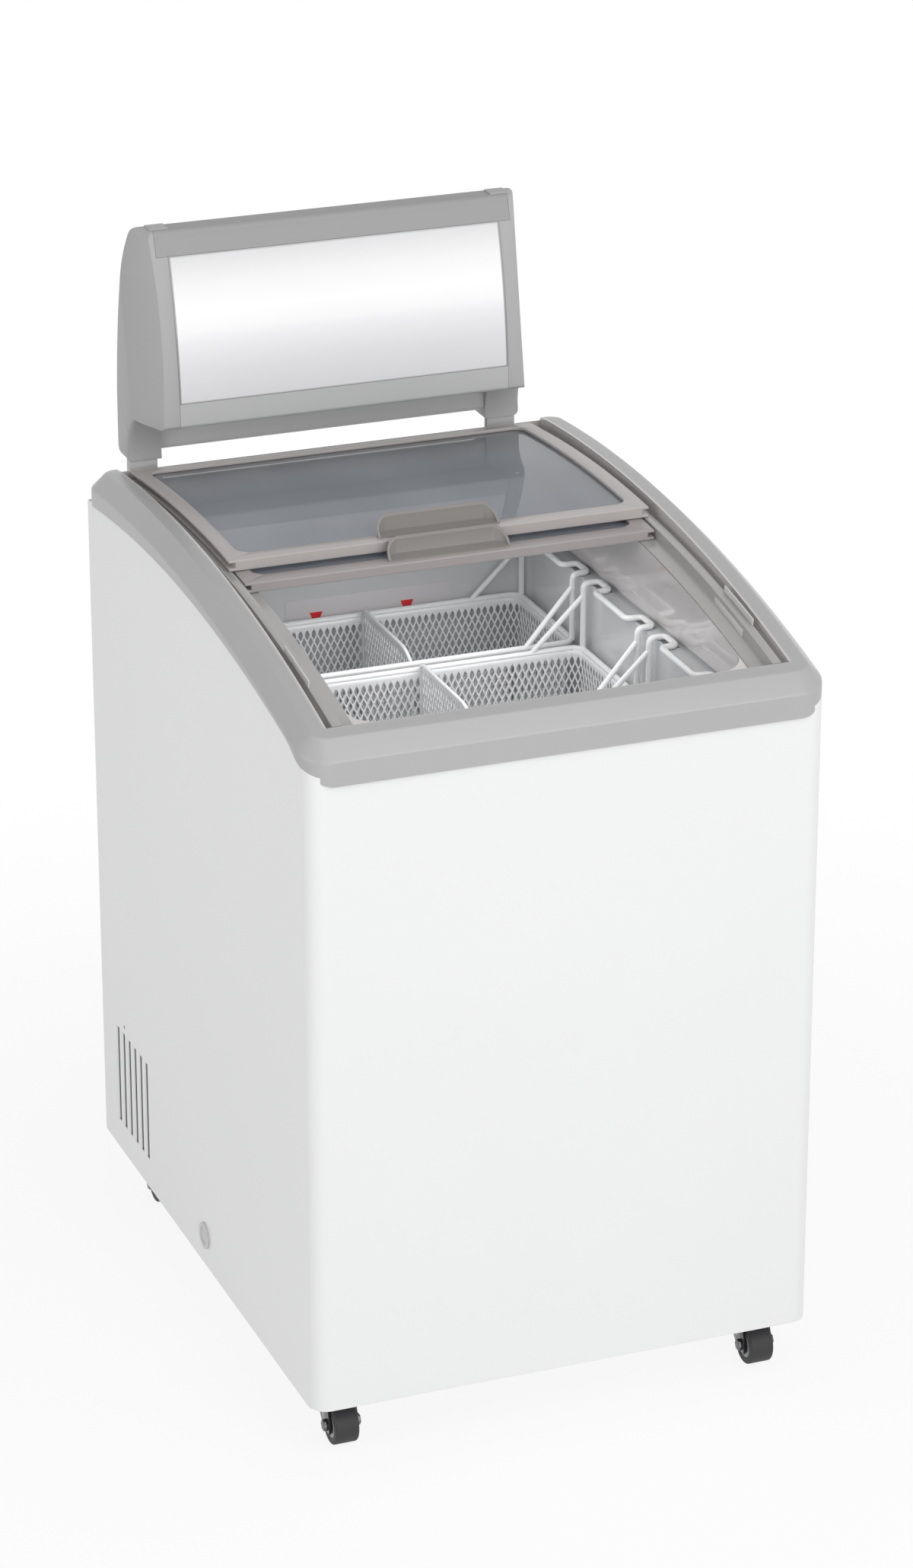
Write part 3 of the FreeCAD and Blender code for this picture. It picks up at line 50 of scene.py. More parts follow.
MM = 0.001
scene = bpy.context.scene
scene.view_settings.view_transform = "Standard"
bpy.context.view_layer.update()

# %% [markdown]
# ## Camera
# The freezer was photographed from its front left, a little from above, with a
# long lens. A camera could be turned until the picture looks right. Measured
# angles and a measured distance are steadier: the three directions below are the
# columns of the camera's matrix.

# %% Camera
LENS, SENSOR = 112.91, 36.0
AZIMUTH, ELEVATION = math.radians(-21.268), math.radians(22.5)
DISTANCE, SIDE_STEP, RISE = 5.302085, -0.013515, -0.124427
AIM = Vector((0.0, -0.0225, 0.450))

back = Vector((
    math.sin(AZIMUTH) * math.cos(ELEVATION),
    -math.cos(AZIMUTH) * math.cos(ELEVATION),
    math.sin(ELEVATION),
))
right = Vector((math.cos(AZIMUTH), math.sin(AZIMUTH), 0.0))
up = back.cross(right)
eye = AIM + back * DISTANCE - right * SIDE_STEP - up * RISE
lens = bpy.data.cameras.new("camera")
lens.lens, lens.sensor_width = LENS, SENSOR
camera = bpy.data.objects.new("camera", lens)
camera.matrix_world = Matrix.Translation(eye) @ Matrix((right, up, back)).transposed().to_4x4()
scene.collection.objects.link(camera)
scene.camera = camera
print("camera at", [round(v, 3) for v in eye])

# %% [markdown]
# ## A way to write shaders
# A material is a net of nodes. Placing and joining each one takes many lines, so
# one small class stands for a node's output. Adding or multiplying two of them
# adds a Math node, and `node` makes any other kind: its settings come first, then
# the values or links of its sockets.

# %% The shader class
class Tap:
    """One output of a shader node, which arithmetic can use."""

    def __init__(self, tree, socket=None):
        self.tree, self.socket = tree, socket

    def node(self, kind, settings=None, sockets=None, out=0):
        made = self.tree.nodes.new(kind)
        for name, value in (settings or {}).items():
            if name == "stops":
                marks = made.color_ramp.elements
                for mark, (spot, colour) in zip((marks[0], marks[-1]), (value[0], value[-1])):
                    mark.position, mark.color = spot, colour
                for spot, colour in value[1:-1]:
                    marks.new(spot).color = colour
            else:
                setattr(made, name, value)
        for name, value in (sockets or {}).items():
            if isinstance(value, Tap):
                self.tree.links.new(value.socket, made.inputs[name])
            else:
                made.inputs[name].default_value = value
        return Tap(self.tree, made.outputs[out] if made.outputs else None)

    def maths(self, operation, *values):
        return self.node("ShaderNodeMath", {"operation": operation}, dict(enumerate(values)))

    def __add__(self, other):
        return self.maths("ADD", self, other)

    def __radd__(self, other):
        return self.maths("ADD", other, self)

    def __sub__(self, other):
        return self.maths("SUBTRACT", self, other)

    def __rsub__(self, other):
        return self.maths("SUBTRACT", other, self)

    def __mul__(self, other):
        return self.maths("MULTIPLY", self, other)

    def __rmul__(self, other):
        return self.maths("MULTIPLY", other, self)

    def __truediv__(self, other):
        return self.maths("DIVIDE", self, other)

    def __rtruediv__(self, other):
        return self.maths("DIVIDE", other, self)


print("shader class ready")

# %% [markdown]
# ## Words for places and grains
# Most finishes here need the same few words: where a point lies, a noise of a
# given grain and a soft step from 0 to 1. Each is one short function. Noise could
# follow the picture plane or the world. It is measured in the object's own
# coordinates instead, so that a grain keeps its size and rides along when a lid
# slides.

# %% Words for places and grains
def place(tap):
    return tap.node("ShaderNodeTexCoord", out="Object")


def along(tap, axis):
    return tap.node("ShaderNodeSeparateXYZ", {}, {0: place(tap)}, out=axis)


def off_middle(tap):
    """How far a point lies to either side of the middle plane."""
    side = along(tap, "X")
    return side.maths("ABSOLUTE", side)


def grain(tap, size_mm, detail=2.0, stretch=(1.0, 1.0, 1.0)):
    spot = tap.node("ShaderNodeVectorMath", {"operation": "MULTIPLY"}, {0: place(tap), 1: stretch})
    sockets = {"Vector": spot, "Scale": 1.0 / (size_mm * MM), "Detail": detail}
    return tap.node("ShaderNodeTexNoise", {}, sockets)


def step(tap, value, low, high):
    sockets = {"Value": value, "From Min": low, "From Max": high}
    return tap.node("ShaderNodeMapRange", {"interpolation_type": "SMOOTHSTEP"}, sockets)


print("place, along, off_middle, grain and step ready")

# %% [markdown]
# ## Words for colours and skins
# A colour is three shares of light, and a shade of it is the same three, weaker or
# stronger. No real surface has one flat colour: `mottled` lets it wander between
# two shades, mostly slowly and a little from grain to grain. `finish` makes the
# material: a recipe says what goes into its Principled shader.

# %% Words for colours and skins
SLOW_SHARE, FINE_SHARE = 0.7, 0.3


def tone(red, green, blue):
    return (red, green, blue, 1.0)


def shade(colour, amount):
    return tone(*(part * amount for part in colour[:3]))


def blend(tap, share, first, second):
    return tap.node("ShaderNodeMix", {"data_type": "RGBA"}, {0: share, 6: first, 7: second}, out=2)


def mottled(tap, slow, fine, dark, light):
    return blend(tap, slow * SLOW_SHARE + fine * FINE_SHARE, dark, light)


def bump(tap, height, strength, depth_mm):
    sockets = {"Strength": strength, "Distance": depth_mm * MM, "Height": height}
    return tap.node("ShaderNodeBump", {}, sockets)


def empty_material(name):
    """A material without nodes, and the tap that fills it."""
    material = bpy.data.materials.new(name)
    material.use_nodes = True
    material.node_tree.nodes.clear()
    return material, Tap(material.node_tree)


def finish(name, recipe):
    """A material whose Principled shader takes what the recipe gives."""
    material, tap = empty_material(name)
    shader = tap.node("ShaderNodeBsdfPrincipled", {}, recipe(tap))
    tap.node("ShaderNodeOutputMaterial", {}, {"Surface": shader})
    return material


print("tone, shade, blend, mottled, bump and finish ready")

# %% [markdown]
# ## Moulded and painted finishes
# The canopy, the lids and their tracks are injection moulded, which leaves a fine
# spark-eroded grain, slow changes in gloss and slightly paler, rubbed high spots;
# the recipe below gives the grain and the gloss, not the rubbed spots.
# Enamel, foam and rubber have a skin of their own. Each could have its own net of
# nodes, but one recipe covers them all: colour, gloss, grain size and grain depth
# change, and the same slow noise moves colour and gloss together so that neither
# is ever flat. The greys differ from piece to piece, and some are lit and shaded
# copies of one plastic: the top rail, the back panel and the lower lid frame carry
# painted shade, and the canopy's lip, cross bar and posts carry painted light.

# %% Moulded and painted finishes
SLOW_MM, DETAIL = 140.0, 3.0
GLOSS_VARY, COAT_ROUGH, GRAIN_BUMP = 0.08, 0.12, 0.35


def skin(name, colour, rough, grain_mm, depth_mm, vary, coat=0.0, shine=0.5):
    """A finish from its colour, its roughness and the size and depth of its grain."""
    def recipe(tap):
        slow = grain(tap, SLOW_MM, DETAIL)
        fine = grain(tap, grain_mm, DETAIL)
        return {
            "Base Color": mottled(tap, slow, fine, shade(colour, 1 - vary), shade(colour, 1 + vary)),
            "Roughness": rough - GLOSS_VARY / 2 + slow * GLOSS_VARY,
            "Specular IOR Level": shine,
            "Coat Weight": coat,
            "Coat Roughness": COAT_ROUGH,
            "Normal": bump(tap, fine, GRAIN_BUMP, depth_mm),
        }
    return finish(name, recipe)


PALE_GREY = tone(0.49, 0.455, 0.447)
LOWER_SHADE = 0.8
white_nylon = skin("white_nylon", tone(0.80, 0.80, 0.79), 0.4, 0.8, 0.05, vary=0.02)
cap_grey = skin("cap_grey", tone(0.60, 0.60, 0.60), 0.35, 0.8, 0.05, vary=0.02)
canopy_grey = skin("canopy_grey", tone(0.44, 0.444, 0.44), 0.46, 0.7, 0.08, vary=0.03, shine=0.25)
# Painted shade and painted light: the rail grey is darker than the caps' plastic, and the lip and bar greys
# are lighter, to match how the light falls on each.
rail_grey = skin("rail_grey", tone(0.37, 0.373, 0.37), 0.5, 0.7, 0.08, vary=0.03, shine=0.2)
lip_grey_painted_light = skin("lip_grey_painted_light", tone(0.50, 0.505, 0.50), 0.44, 0.7, 0.08, vary=0.03, shine=0.25)
bar_grey_painted_light = skin("bar_grey_painted_light", tone(0.56, 0.565, 0.56), 0.42, 0.7, 0.08, vary=0.03, shine=0.3)
lid_grey = skin("lid_grey", PALE_GREY, 0.34, 0.6, 0.06, vary=0.03, coat=0.1)
# Painted shade: the lower lid frame is the upper lid's plastic made darker by LOWER_SHADE, as it lies in
# shade.
lid_shaded = skin("lid_shaded", shade(PALE_GREY, LOWER_SHADE), 0.36, 0.6, 0.06, vary=0.03, coat=0.1)
fin_taupe = skin("fin_taupe", tone(0.27, 0.253, 0.245), 0.38, 0.6, 0.06, vary=0.04)
track_grey = skin("track_grey", tone(0.40, 0.39, 0.385), 0.22, 0.5, 0.03, vary=0.04, coat=0.4)
clip_pale = skin("clip_pale", tone(0.66, 0.65, 0.64), 0.22, 0.5, 0.02, vary=0.03, coat=0.3)
liner_pale = skin("liner_pale", tone(0.66, 0.672, 0.685), 0.2, 6.0, 0.03, vary=0.015, coat=0.4)
lamp_frost = skin("lamp_frost", tone(0.9, 0.9, 0.88), 0.5, 3.0, 0.02, vary=0.02)
black_nylon = skin("black_nylon", tone(0.022, 0.022, 0.024), 0.42, 0.6, 0.08, vary=0.25)
black_enamel = skin("black_enamel", tone(0.018, 0.018, 0.02), 0.25, 2.2, 0.08, vary=0.3, coat=0.4)
tread_black = skin("tread_black", tone(0.03, 0.03, 0.032), 0.6, 0.5, 0.1, vary=0.3)
foam_tan = skin("foam_tan", tone(0.62, 0.55, 0.36), 0.85, 1.5, 0.5, vary=0.12)
print("finishes:", len(bpy.data.materials))

# %% [markdown]
# ## Painted sheet
# The cabinet is white painted sheet with a faint orange-peel skin. At its left are
# six slots, which look dark in the photograph. The blades behind them are a guess,
# and from that side they cover their own openings. A second material on the blades
# would mean changing the solid's faces, so a mask made from the place paints shade
# on the deep half of each blade instead: painted shade for the dark openings.

# %% Painted sheet
WHITE, SLOT_PAINTED_SHADE = tone(0.83, 0.835, 0.835), tone(0.06, 0.06, 0.062)
WHITE_VARY, PAINT_ROUGH, PAINT_COAT = 0.012, 0.29, 0.25
PEEL_MM, PEEL_DEPTH_MM = 1.6, 0.05
SHEET_FACE, SHEET_INSIDE, SLOT_ROW_FRONT = -0.280, 0.008, 0.15
DARK_STARTS, DARK_FULL = 0.0010, 0.0017


def sheet_recipe(tap):
    slow = grain(tap, SLOW_MM, DETAIL)
    peel = grain(tap, PEEL_MM, DETAIL)
    depth = along(tap, "X") - SHEET_FACE
    # Painted shade on the deep half of each slot's blade.
    dark = step(tap, depth, DARK_STARTS, DARK_FULL)
    dark = dark * (1 - step(tap, depth, SHEET_INSIDE, SHEET_INSIDE + MM))
    dark = dark * step(tap, along(tap, "Y"), SLOT_ROW_FRONT, SLOT_ROW_FRONT + MM)
    paint = mottled(tap, slow, peel, shade(WHITE, 1 - WHITE_VARY), shade(WHITE, 1 + WHITE_VARY))
    return {
        "Base Color": blend(tap, dark, paint, SLOT_PAINTED_SHADE),
        "Roughness": PAINT_ROUGH + slow * GLOSS_VARY,
        "Coat Weight": PAINT_COAT - dark * PAINT_COAT,
        "Coat Roughness": COAT_ROUGH,
        "Normal": bump(tap, peel, GRAIN_BUMP, PEEL_DEPTH_MM),
    }


white_paint = finish("white_paint", sheet_recipe)
print("painted sheet ready")

# %% [markdown]
# ## Rim moulding
# The top frame is one grey moulding, but it doesn't look like one colour: the
# part round the lids and down to the baskets is smoother and catches a warm
# tint. Two materials would leave a hard seam between their faces. Here one recipe
# holds two colours and two roughnesses, and a mask made from the distance to the
# middle plane and the depth tells them apart. A faint oval from the mould sits on
# the flat top of the front.

# %% Rim moulding
GREY, GREY_LOW, GREY_HIGH = tone(0.42, 0.424, 0.42), 0.96, 1.05
WARM_LOW, WARM_HIGH = tone(0.68, 0.65, 0.647), tone(0.73, 0.70, 0.697)
RIM_SLOW_MM, RIM_GRAIN_MM, RIM_DEPTH_MM = 160.0, 0.7, 0.08
RIM_ROUGH, INNER_GLOSS, RIM_COAT, RIM_COAT_ROUGH = 0.26, 0.16, 0.1, 0.05
RECESS_SIDE, RECESS_FRONT, RECESS_REAR = (0.248, 0.253), (-0.3505, -0.3455), (0.3235, 0.3265)
OVAL_X, OVAL_Y, OVAL_WIDE, OVAL_DEEP = 0.002, -0.3562, 0.024, 0.0058
OVAL_STARTS, OVAL_CREST, OVAL_ENDS = 0.7, 1.0, 1.35
OUTER_GRAIN, OVAL_HEIGHT = 0.5, 3.0


def recess_mask(tap):
    """One inside the recess of the lids, nought on the outer faces."""
    depth = along(tap, "Y")
    inside = 1 - step(tap, off_middle(tap), *RECESS_SIDE)
    inside = inside * step(tap, depth, *RECESS_FRONT)
    return inside * (1 - step(tap, depth, *RECESS_REAR))


def mould_oval(tap):
    across = (along(tap, "X") - OVAL_X) / OVAL_WIDE
    deep = (along(tap, "Y") - OVAL_Y) / OVAL_DEEP
    ring = across * across + deep * deep
    return step(tap, ring, OVAL_STARTS, OVAL_CREST) * (1 - step(tap, ring, OVAL_CREST, OVAL_ENDS))


def rim_recipe(tap):
    slow = grain(tap, RIM_SLOW_MM, DETAIL)
    fine = grain(tap, RIM_GRAIN_MM, DETAIL)
    inside = recess_mask(tap)
    outer = mottled(tap, slow, fine, shade(GREY, GREY_LOW), shade(GREY, GREY_HIGH))
    inner = blend(tap, slow, WARM_LOW, WARM_HIGH)
    relief = fine * (1 - inside) * OUTER_GRAIN + mould_oval(tap) * OVAL_HEIGHT
    return {
        "Base Color": blend(tap, inside, outer, inner),
        "Roughness": RIM_ROUGH + slow * GLOSS_VARY - inside * INNER_GLOSS,
        "Coat Weight": RIM_COAT + inside * (1 - RIM_COAT),
        "Coat Roughness": RIM_COAT_ROUGH,
        "Normal": bump(tap, relief, GRAIN_BUMP, RIM_DEPTH_MM),
    }


rim_grey = finish("rim_grey", rim_recipe)
print("rim moulding ready")

# %% [markdown]
# ## Canopy panel
# The curved panel is a sheet of opal plastic in front of a lamp tube. It is whitest
# in a broad band where the lamp shines through and greyer towards both rails. A
# lamp behind a thin sheet is slow to render, so a colour ramp along the panel's
# own height gives the band, and a slow noise keeps the sheet from looking printed.
# A fine dark line round the edge is painted shade in the gap where the sheet sits.

# %% Canopy panel
panel_low, panel_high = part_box("canopy_front_panel")
PANEL_EDGE_SHADE, HAZE = tone(0.30, 0.30, 0.31), tone(0.72, 0.73, 0.75)
# The first and last stops are painted shade along the panel's top and bottom edges.
PANEL_STOPS = [
    (0.0, PANEL_EDGE_SHADE),
    (0.012, tone(0.72, 0.72, 0.73)),
    (0.22, tone(0.78, 0.78, 0.79)),
    (0.45, tone(0.90, 0.90, 0.91)),
    (0.62, tone(0.93, 0.93, 0.93)),
    (0.80, tone(0.83, 0.83, 0.835)),
    (0.985, tone(0.66, 0.66, 0.67)),
    (1.0, PANEL_EDGE_SHADE),
]
EDGE_SHADE_STARTS, EDGE_SHADE_SOLID = 0.0026, 0.0014
HAZE_MM, HAZE_SHARE = 60.0, 0.06
PANEL_ROUGH, PANEL_VARY, PANEL_COAT = 0.18, 0.06, 0.4
RIPPLE_MM, RIPPLE_BUMP, RIPPLE_DEPTH_MM = 4.0, 0.2, 0.02


def panel_recipe(tap):
    height = (along(tap, "Z") - panel_low.z) / (panel_high.z - panel_low.z)
    ramp = tap.node("ShaderNodeValToRGB", {"stops": PANEL_STOPS}, {0: height})
    slow = grain(tap, HAZE_MM, DETAIL)
    # Painted shade along the panel's side edges.
    seal = step(tap, off_middle(tap), panel_high.x - EDGE_SHADE_STARTS, panel_high.x - EDGE_SHADE_SOLID)
    opal = blend(tap, slow * HAZE_SHARE, ramp, HAZE)
    return {
        "Base Color": blend(tap, seal, opal, PANEL_EDGE_SHADE),
        "Roughness": PANEL_ROUGH + slow * PANEL_VARY,
        "Coat Weight": PANEL_COAT,
        "Normal": bump(tap, grain(tap, RIPPLE_MM), RIPPLE_BUMP, RIPPLE_DEPTH_MM),
    }


opal_panel = finish("opal_panel", panel_recipe)
print("canopy panel", round(panel_high.z - panel_low.z, 3), "m high")

# %% [markdown]
# ## Metals
# The galvanised back and base, zinc-plated bolts and castor plates, dark steel
# axles, copper and fins are metals: the colour goes into the reflection. Zinc shows
# its crystals, so a cell noise varies the colour and the gloss; rolled sheet and
# fins show a fine brushed grain, which is the same noise stretched along one axis.
# A photograph of metal would repeat itself, and a noise never does.

# %% Metals
BRUSH_MM, BRUSH_DETAIL, BRUSH_BUMP, BRUSH_DEPTH_MM = 1.2, 4.0, 0.2, 0.03
CRYSTAL_SHARE, BRUSH_SHARE = 0.8, 0.2
METAL_LOW, METAL_HIGH, METAL_VARY = 0.86, 1.08, 0.12


def metal(name, colour, rough, crystal_mm=0.0, stretch=(1.0, 1.0, 1.0)):
    """A finish from its colour, its roughness and its crystals or the way it was brushed."""
    def recipe(tap):
        brushed = grain(tap, BRUSH_MM, BRUSH_DETAIL, stretch)
        share = brushed
        if crystal_mm:
            sockets = {"Vector": place(tap), "Scale": 1 / (crystal_mm * MM)}
            cells = tap.node("ShaderNodeTexVoronoi", {}, sockets, out="Color")
            crystal = tap.node("ShaderNodeSeparateColor", {}, {0: cells})
            share = crystal * CRYSTAL_SHARE + brushed * BRUSH_SHARE
        return {
            "Base Color": blend(tap, share, shade(colour, METAL_LOW), shade(colour, METAL_HIGH)),
            "Metallic": 1.0,
            "Roughness": rough - METAL_VARY / 2 + share * METAL_VARY,
            "Normal": bump(tap, brushed, BRUSH_BUMP, BRUSH_DEPTH_MM),
        }
    return finish(name, recipe)


chrome_steel = metal("chrome_steel", tone(0.66, 0.665, 0.67), 0.16)
dark_steel = metal("dark_steel", tone(0.13, 0.13, 0.135), 0.3)
zinc_plate = metal("zinc_plate", tone(0.58, 0.60, 0.62), 0.3, 2.5)
galvanised = metal("galvanised", tone(0.55, 0.565, 0.575), 0.38, 14.0)
fin_metal = metal("fin_metal", tone(0.62, 0.63, 0.64), 0.35, stretch=(1.0, 1.0, 0.1))
copper_tube = metal("copper_tube", tone(0.75, 0.40, 0.26), 0.28, stretch=(0.2, 0.2, 1.0))
coil_metal = metal("coil_metal", tone(0.60, 0.61, 0.62), 0.3, stretch=(0.3, 0.3, 1.0))
print("metals ready")

# %% [markdown]
# ## Glass
# The lids are curved sheets of float glass with a cool tint. Full refraction
# would bend light twice and fill the picture with noise for a pane only 4 mm
# thick. A clear shader mixed with a glossy one by the Fresnel law gives what the
# eye sees: clear from above, a mirror at a flat angle. A fixed share on top keeps
# the tint and a trace of frost and fingerprints, which a slow noise varies.

# %% Glass
CLEAR_TINT, FROST = tone(0.945, 0.955, 0.97), tone(0.62, 0.645, 0.69)
FROST_SHARE, FROST_LOW, FROST_VARY = 0.17, 0.7, 0.6
SMEAR_MM, SMEAR_DETAIL, SMEAR_STRETCH = 90.0, 4.0, (1.0, 0.35, 1.0)
MIRROR_IOR, GLASS_ROUGH, SMEAR_ROUGH, SMEAR_VARY = 1.75, 0.02, 0.04, 0.1

lid_glass, tap = empty_material("lid_glass")
smear = grain(tap, SMEAR_MM, SMEAR_DETAIL, SMEAR_STRETCH)
clear = tap.node("ShaderNodeBsdfTransparent", {}, {"Color": CLEAR_TINT})
gloss = tap.node("ShaderNodeBsdfPrincipled", {}, {
    "Base Color": blend(tap, smear, shade(FROST, 1 - SMEAR_VARY), shade(FROST, 1 + SMEAR_VARY)),
    "Roughness": GLASS_ROUGH + smear * SMEAR_ROUGH,
    "Coat Weight": 1.0,
})
mirror = tap.node("ShaderNodeFresnel", {}, {"IOR": MIRROR_IOR})
share = FROST_SHARE * (FROST_LOW + smear * FROST_VARY) + mirror
mixed = tap.node("ShaderNodeMixShader", {}, {0: share, 1: clear, 2: gloss})
tap.node("ShaderNodeOutputMaterial", {}, {"Surface": mixed})
print("glass ready")

# %% [markdown]
# ## Smooth shading
# The solids' curved faces come as flat facets. Shading all of it smoothly would
# smear the real edges too. A small group of geometry nodes measures the angle at
# each edge: shallow ones are shaded smoothly, and steep ones stay sharp. A group
# does this as a modifier, so that the mesh itself stays as it came.

# %% Smooth shading
SHARP_FROM = math.radians(28)


def smoothing_group(limit):
    group = bpy.data.node_groups.new("shade_by_angle", "GeometryNodeTree")
    group.interface.new_socket("Geometry", in_out="INPUT", socket_type="NodeSocketGeometry")
    group.interface.new_socket("Geometry", in_out="OUTPUT", socket_type="NodeSocketGeometry")
    start, end = group.nodes.new("NodeGroupInput"), group.nodes.new("NodeGroupOutput")
    faces, edges = (group.nodes.new("GeometryNodeSetShadeSmooth") for _ in range(2))
    faces.domain, edges.domain = "FACE", "EDGE"
    angle = group.nodes.new("GeometryNodeInputMeshEdgeAngle")
    steep = group.nodes.new("FunctionNodeCompare")
    steep.operation = "GREATER_THAN"
    steep.inputs[1].default_value = limit
    edges.inputs["Shade Smooth"].default_value = False
    for source, target in (
        (start.outputs[0], faces.inputs["Geometry"]),
        (faces.outputs[0], edges.inputs["Geometry"]),
        (angle.outputs[0], steep.inputs[0]),
        (steep.outputs[0], edges.inputs["Selection"]),
        (edges.outputs[0], end.inputs[0]),
    ):
        group.links.new(source, target)
    return group


soft_shade = smoothing_group(SHARP_FROM)
print("smooth below", round(math.degrees(SHARP_FROM)), "degrees")

# %% [markdown]
# ## Finishes onto the solids
# A solid whose shape is right keeps its mesh and gets a finish. Modifiers follow: a
# weld joins doubled points, and the group above shades the faces. Where a number
# stands after the names, a bevel of that many millimetres takes the knife edge off
# first, as every moulded edge has a radius that catches the light.

# %% Finishes onto the solids
WELD_GAP = 0.000002
BEVEL_FROM = math.radians(50)
CORNERS = ("front_left", "front_right", "rear_left", "rear_right")


def dress(material, names, edge_mm=0.0):
    for name in names.split():
        solid = nodes[name]
        solid.data.materials.clear()
        solid.data.materials.append(material)
        solid.modifiers.new("weld", "WELD").merge_threshold = WELD_GAP
        if edge_mm:
            edge = solid.modifiers.new("edge", "BEVEL")
            edge.width, edge.segments = edge_mm * MM, 2
            edge.limit_method, edge.angle_limit = "ANGLE", BEVEL_FROM
        solid.modifiers.new("shade", "NODES").node_group = soft_shade


dress(white_paint, "cabinet_shell")
dress(rim_grey, "top_frame")
dress(canopy_grey, "canopy_cap_left canopy_cap_right", 2.5)
dress(rail_grey, "canopy_top_rail canopy_back_panel")
dress(lip_grey_painted_light, "canopy_bottom_rail")
dress(bar_grey_painted_light, "canopy_cross_bar canopy_post_left canopy_post_right", 0.8)
dress(opal_panel, "canopy_front_panel")
dress(lid_grey, "upper_lid_frame", 1.0)
dress(lid_shaded, "lower_lid_frame", 1.0)
dress(fin_taupe, "upper_lid_handle lower_lid_handle", 0.8)
dress(lid_glass, "upper_lid_glass lower_lid_glass")
dress(track_grey, "lid_track_left lid_track_right", 0.4)
dress(clip_pale, "lid_keeper_clips", 0.4)
dress(liner_pale, "inner_liner")
dress(cap_grey, "drain_cap", 0.4)
dress(white_nylon, "drain_tube", 0.4)
dress(white_nylon, "canopy_lamp_holders", 1.0)
dress(lamp_frost, "canopy_lamp")
dress(foam_tan, "insulation_foam")
dress(galvanised, "rear_panel base_tray machine_grille")
dress(chrome_steel, "canopy_screws", 0.4)
dress(zinc_plate, "post_bolts", 0.4)
dress(zinc_plate, "castor_plates", 0.3)
dress(coil_metal, "evaporator_coil")
dress(copper_tube, "filter_drier")
dress(fin_metal, "condenser")
dress(black_enamel, "compressor")
dress(black_nylon, "fan_motor fan_blade control_box power_inlet")
dress(black_nylon, "thermostat_knob light_switch", 0.5)
for corner in CORNERS:
    dress(black_enamel, "castor_" + corner + "_fork", 0.3)
    dress(dark_steel, "castor_" + corner + "_axle", 0.3)
    dress(tread_black, "castor_" + corner + "_wheel")
print("dressed", sum(1 for node in nodes.values() if "shade" in node.modifiers), "solids")

# %% [markdown]
# ## Making pieces
# A new piece starts as points and faces in a `bmesh`, already in the freezer's own
# frame. One function turns it into an object with a finish, rounds its shading,
# and says which body it rides on and which solid it takes the place of.

# %% Making pieces
def piece(name, shape, material, body, replaced=(), sharp=35.0):
    mesh = bpy.data.meshes.new(name)
    bmesh.ops.recalc_face_normals(shape, faces=shape.faces)
    shape.to_mesh(mesh)
    shape.free()
    for face in mesh.polygons:
        face.use_smooth = True
    mesh.set_sharp_from_angle(angle=math.radians(sharp))
    mesh.materials.append(material)
    made = bpy.data.objects.new(name, mesh)
    scene.collection.objects.link(made)
    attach(made, body)
    if replaced:
        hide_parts(*replaced)
    return made


print("piece maker ready")

# %% [markdown]
# ## Bent wire
# The baskets hang on bent wire. A curve object with a round bevel would do, but its
# joints pinch at sharp corners and it would have to be turned into a mesh in the
# end. Two functions make the mesh at once: one rounds the corners of a route, the
# other carries a ring of points along it and turns the ring as little as it can, so
# that the wire doesn't twist.

# %% Bent wire
def rounded(points, bend, closed=False, steps=4):
    """A route with its corners rounded off."""
    line = []
    count = len(points)
    for i, corner in enumerate(points):
        if not closed and i in (0, count - 1):
            line.append(corner)
            continue
        before, after = points[i - 1] - corner, points[(i + 1) % count] - corner
        reach = min(bend, before.length / 2, after.length / 2)
        first, last = corner + before.normalized() * reach, corner + after.normalized() * reach
        for k in range(steps + 1):
            t = k / steps
            line.append(first * (1 - t) ** 2 + corner * 2 * t * (1 - t) + last * t ** 2)
    return line


def wire(shape, line, radius, closed=False, sides=8):
    """A round bar along a line, added to a bmesh."""
    count = len(line)
    rings = []
    normal = None
    for i, point in enumerate(line):
        ahead = line[(i + 1) % count] if closed or i < count - 1 else point
        behind = line[i - 1] if closed or i > 0 else point
        heading = (ahead - behind).normalized()
        if normal is None:
            normal = heading.orthogonal().normalized()
        normal = (normal - heading * normal.dot(heading)).normalized()
        binormal = heading.cross(normal)
        ring = []
        for k in range(sides):
            turn = 2 * math.pi * k / sides
            spoke = normal * math.cos(turn) + binormal * math.sin(turn)
            ring.append(shape.verts.new(point + spoke * radius))
        rings.append(ring)
    pairs = list(zip(rings, rings[1:]))
    if closed:
        shift = min(range(sides), key=lambda s: (rings[0][s].co - rings[-1][0].co).length)
        pairs.append((rings[-1], rings[0][shift:] + rings[0][:shift]))
    for first, second in pairs:
        for k in range(sides):
            shape.faces.new((first[k], first[k - 1], second[k - 1], second[k]))
    if not closed:
        shape.faces.new(rings[0])
        shape.faces.new(rings[-1])


print("wire benders ready")

# %% [markdown]
# ## Expanded mesh
# The baskets are pressed from expanded metal: a sheet that was slit and pulled
# until the slits opened into upright diamonds, then coated white. A picture of
# holes would look flat from nearby, so the holes are cut. Diamonds that touch at
# their corners tile a sheet without a gap: each one is a frame of four faces
# round its hole, bulged a little as the coating rounds it, half diamonds close the
# edges and a plain hem runs along them. The sheet is flat at first; a function
# says where each place on it ends up, so that one recipe serves a basket's wall,
# which runs round its corners and meets itself, and a flat floor.

# %% Expanded mesh
BULGE, TOP_BULGE = 0.55, 0.64


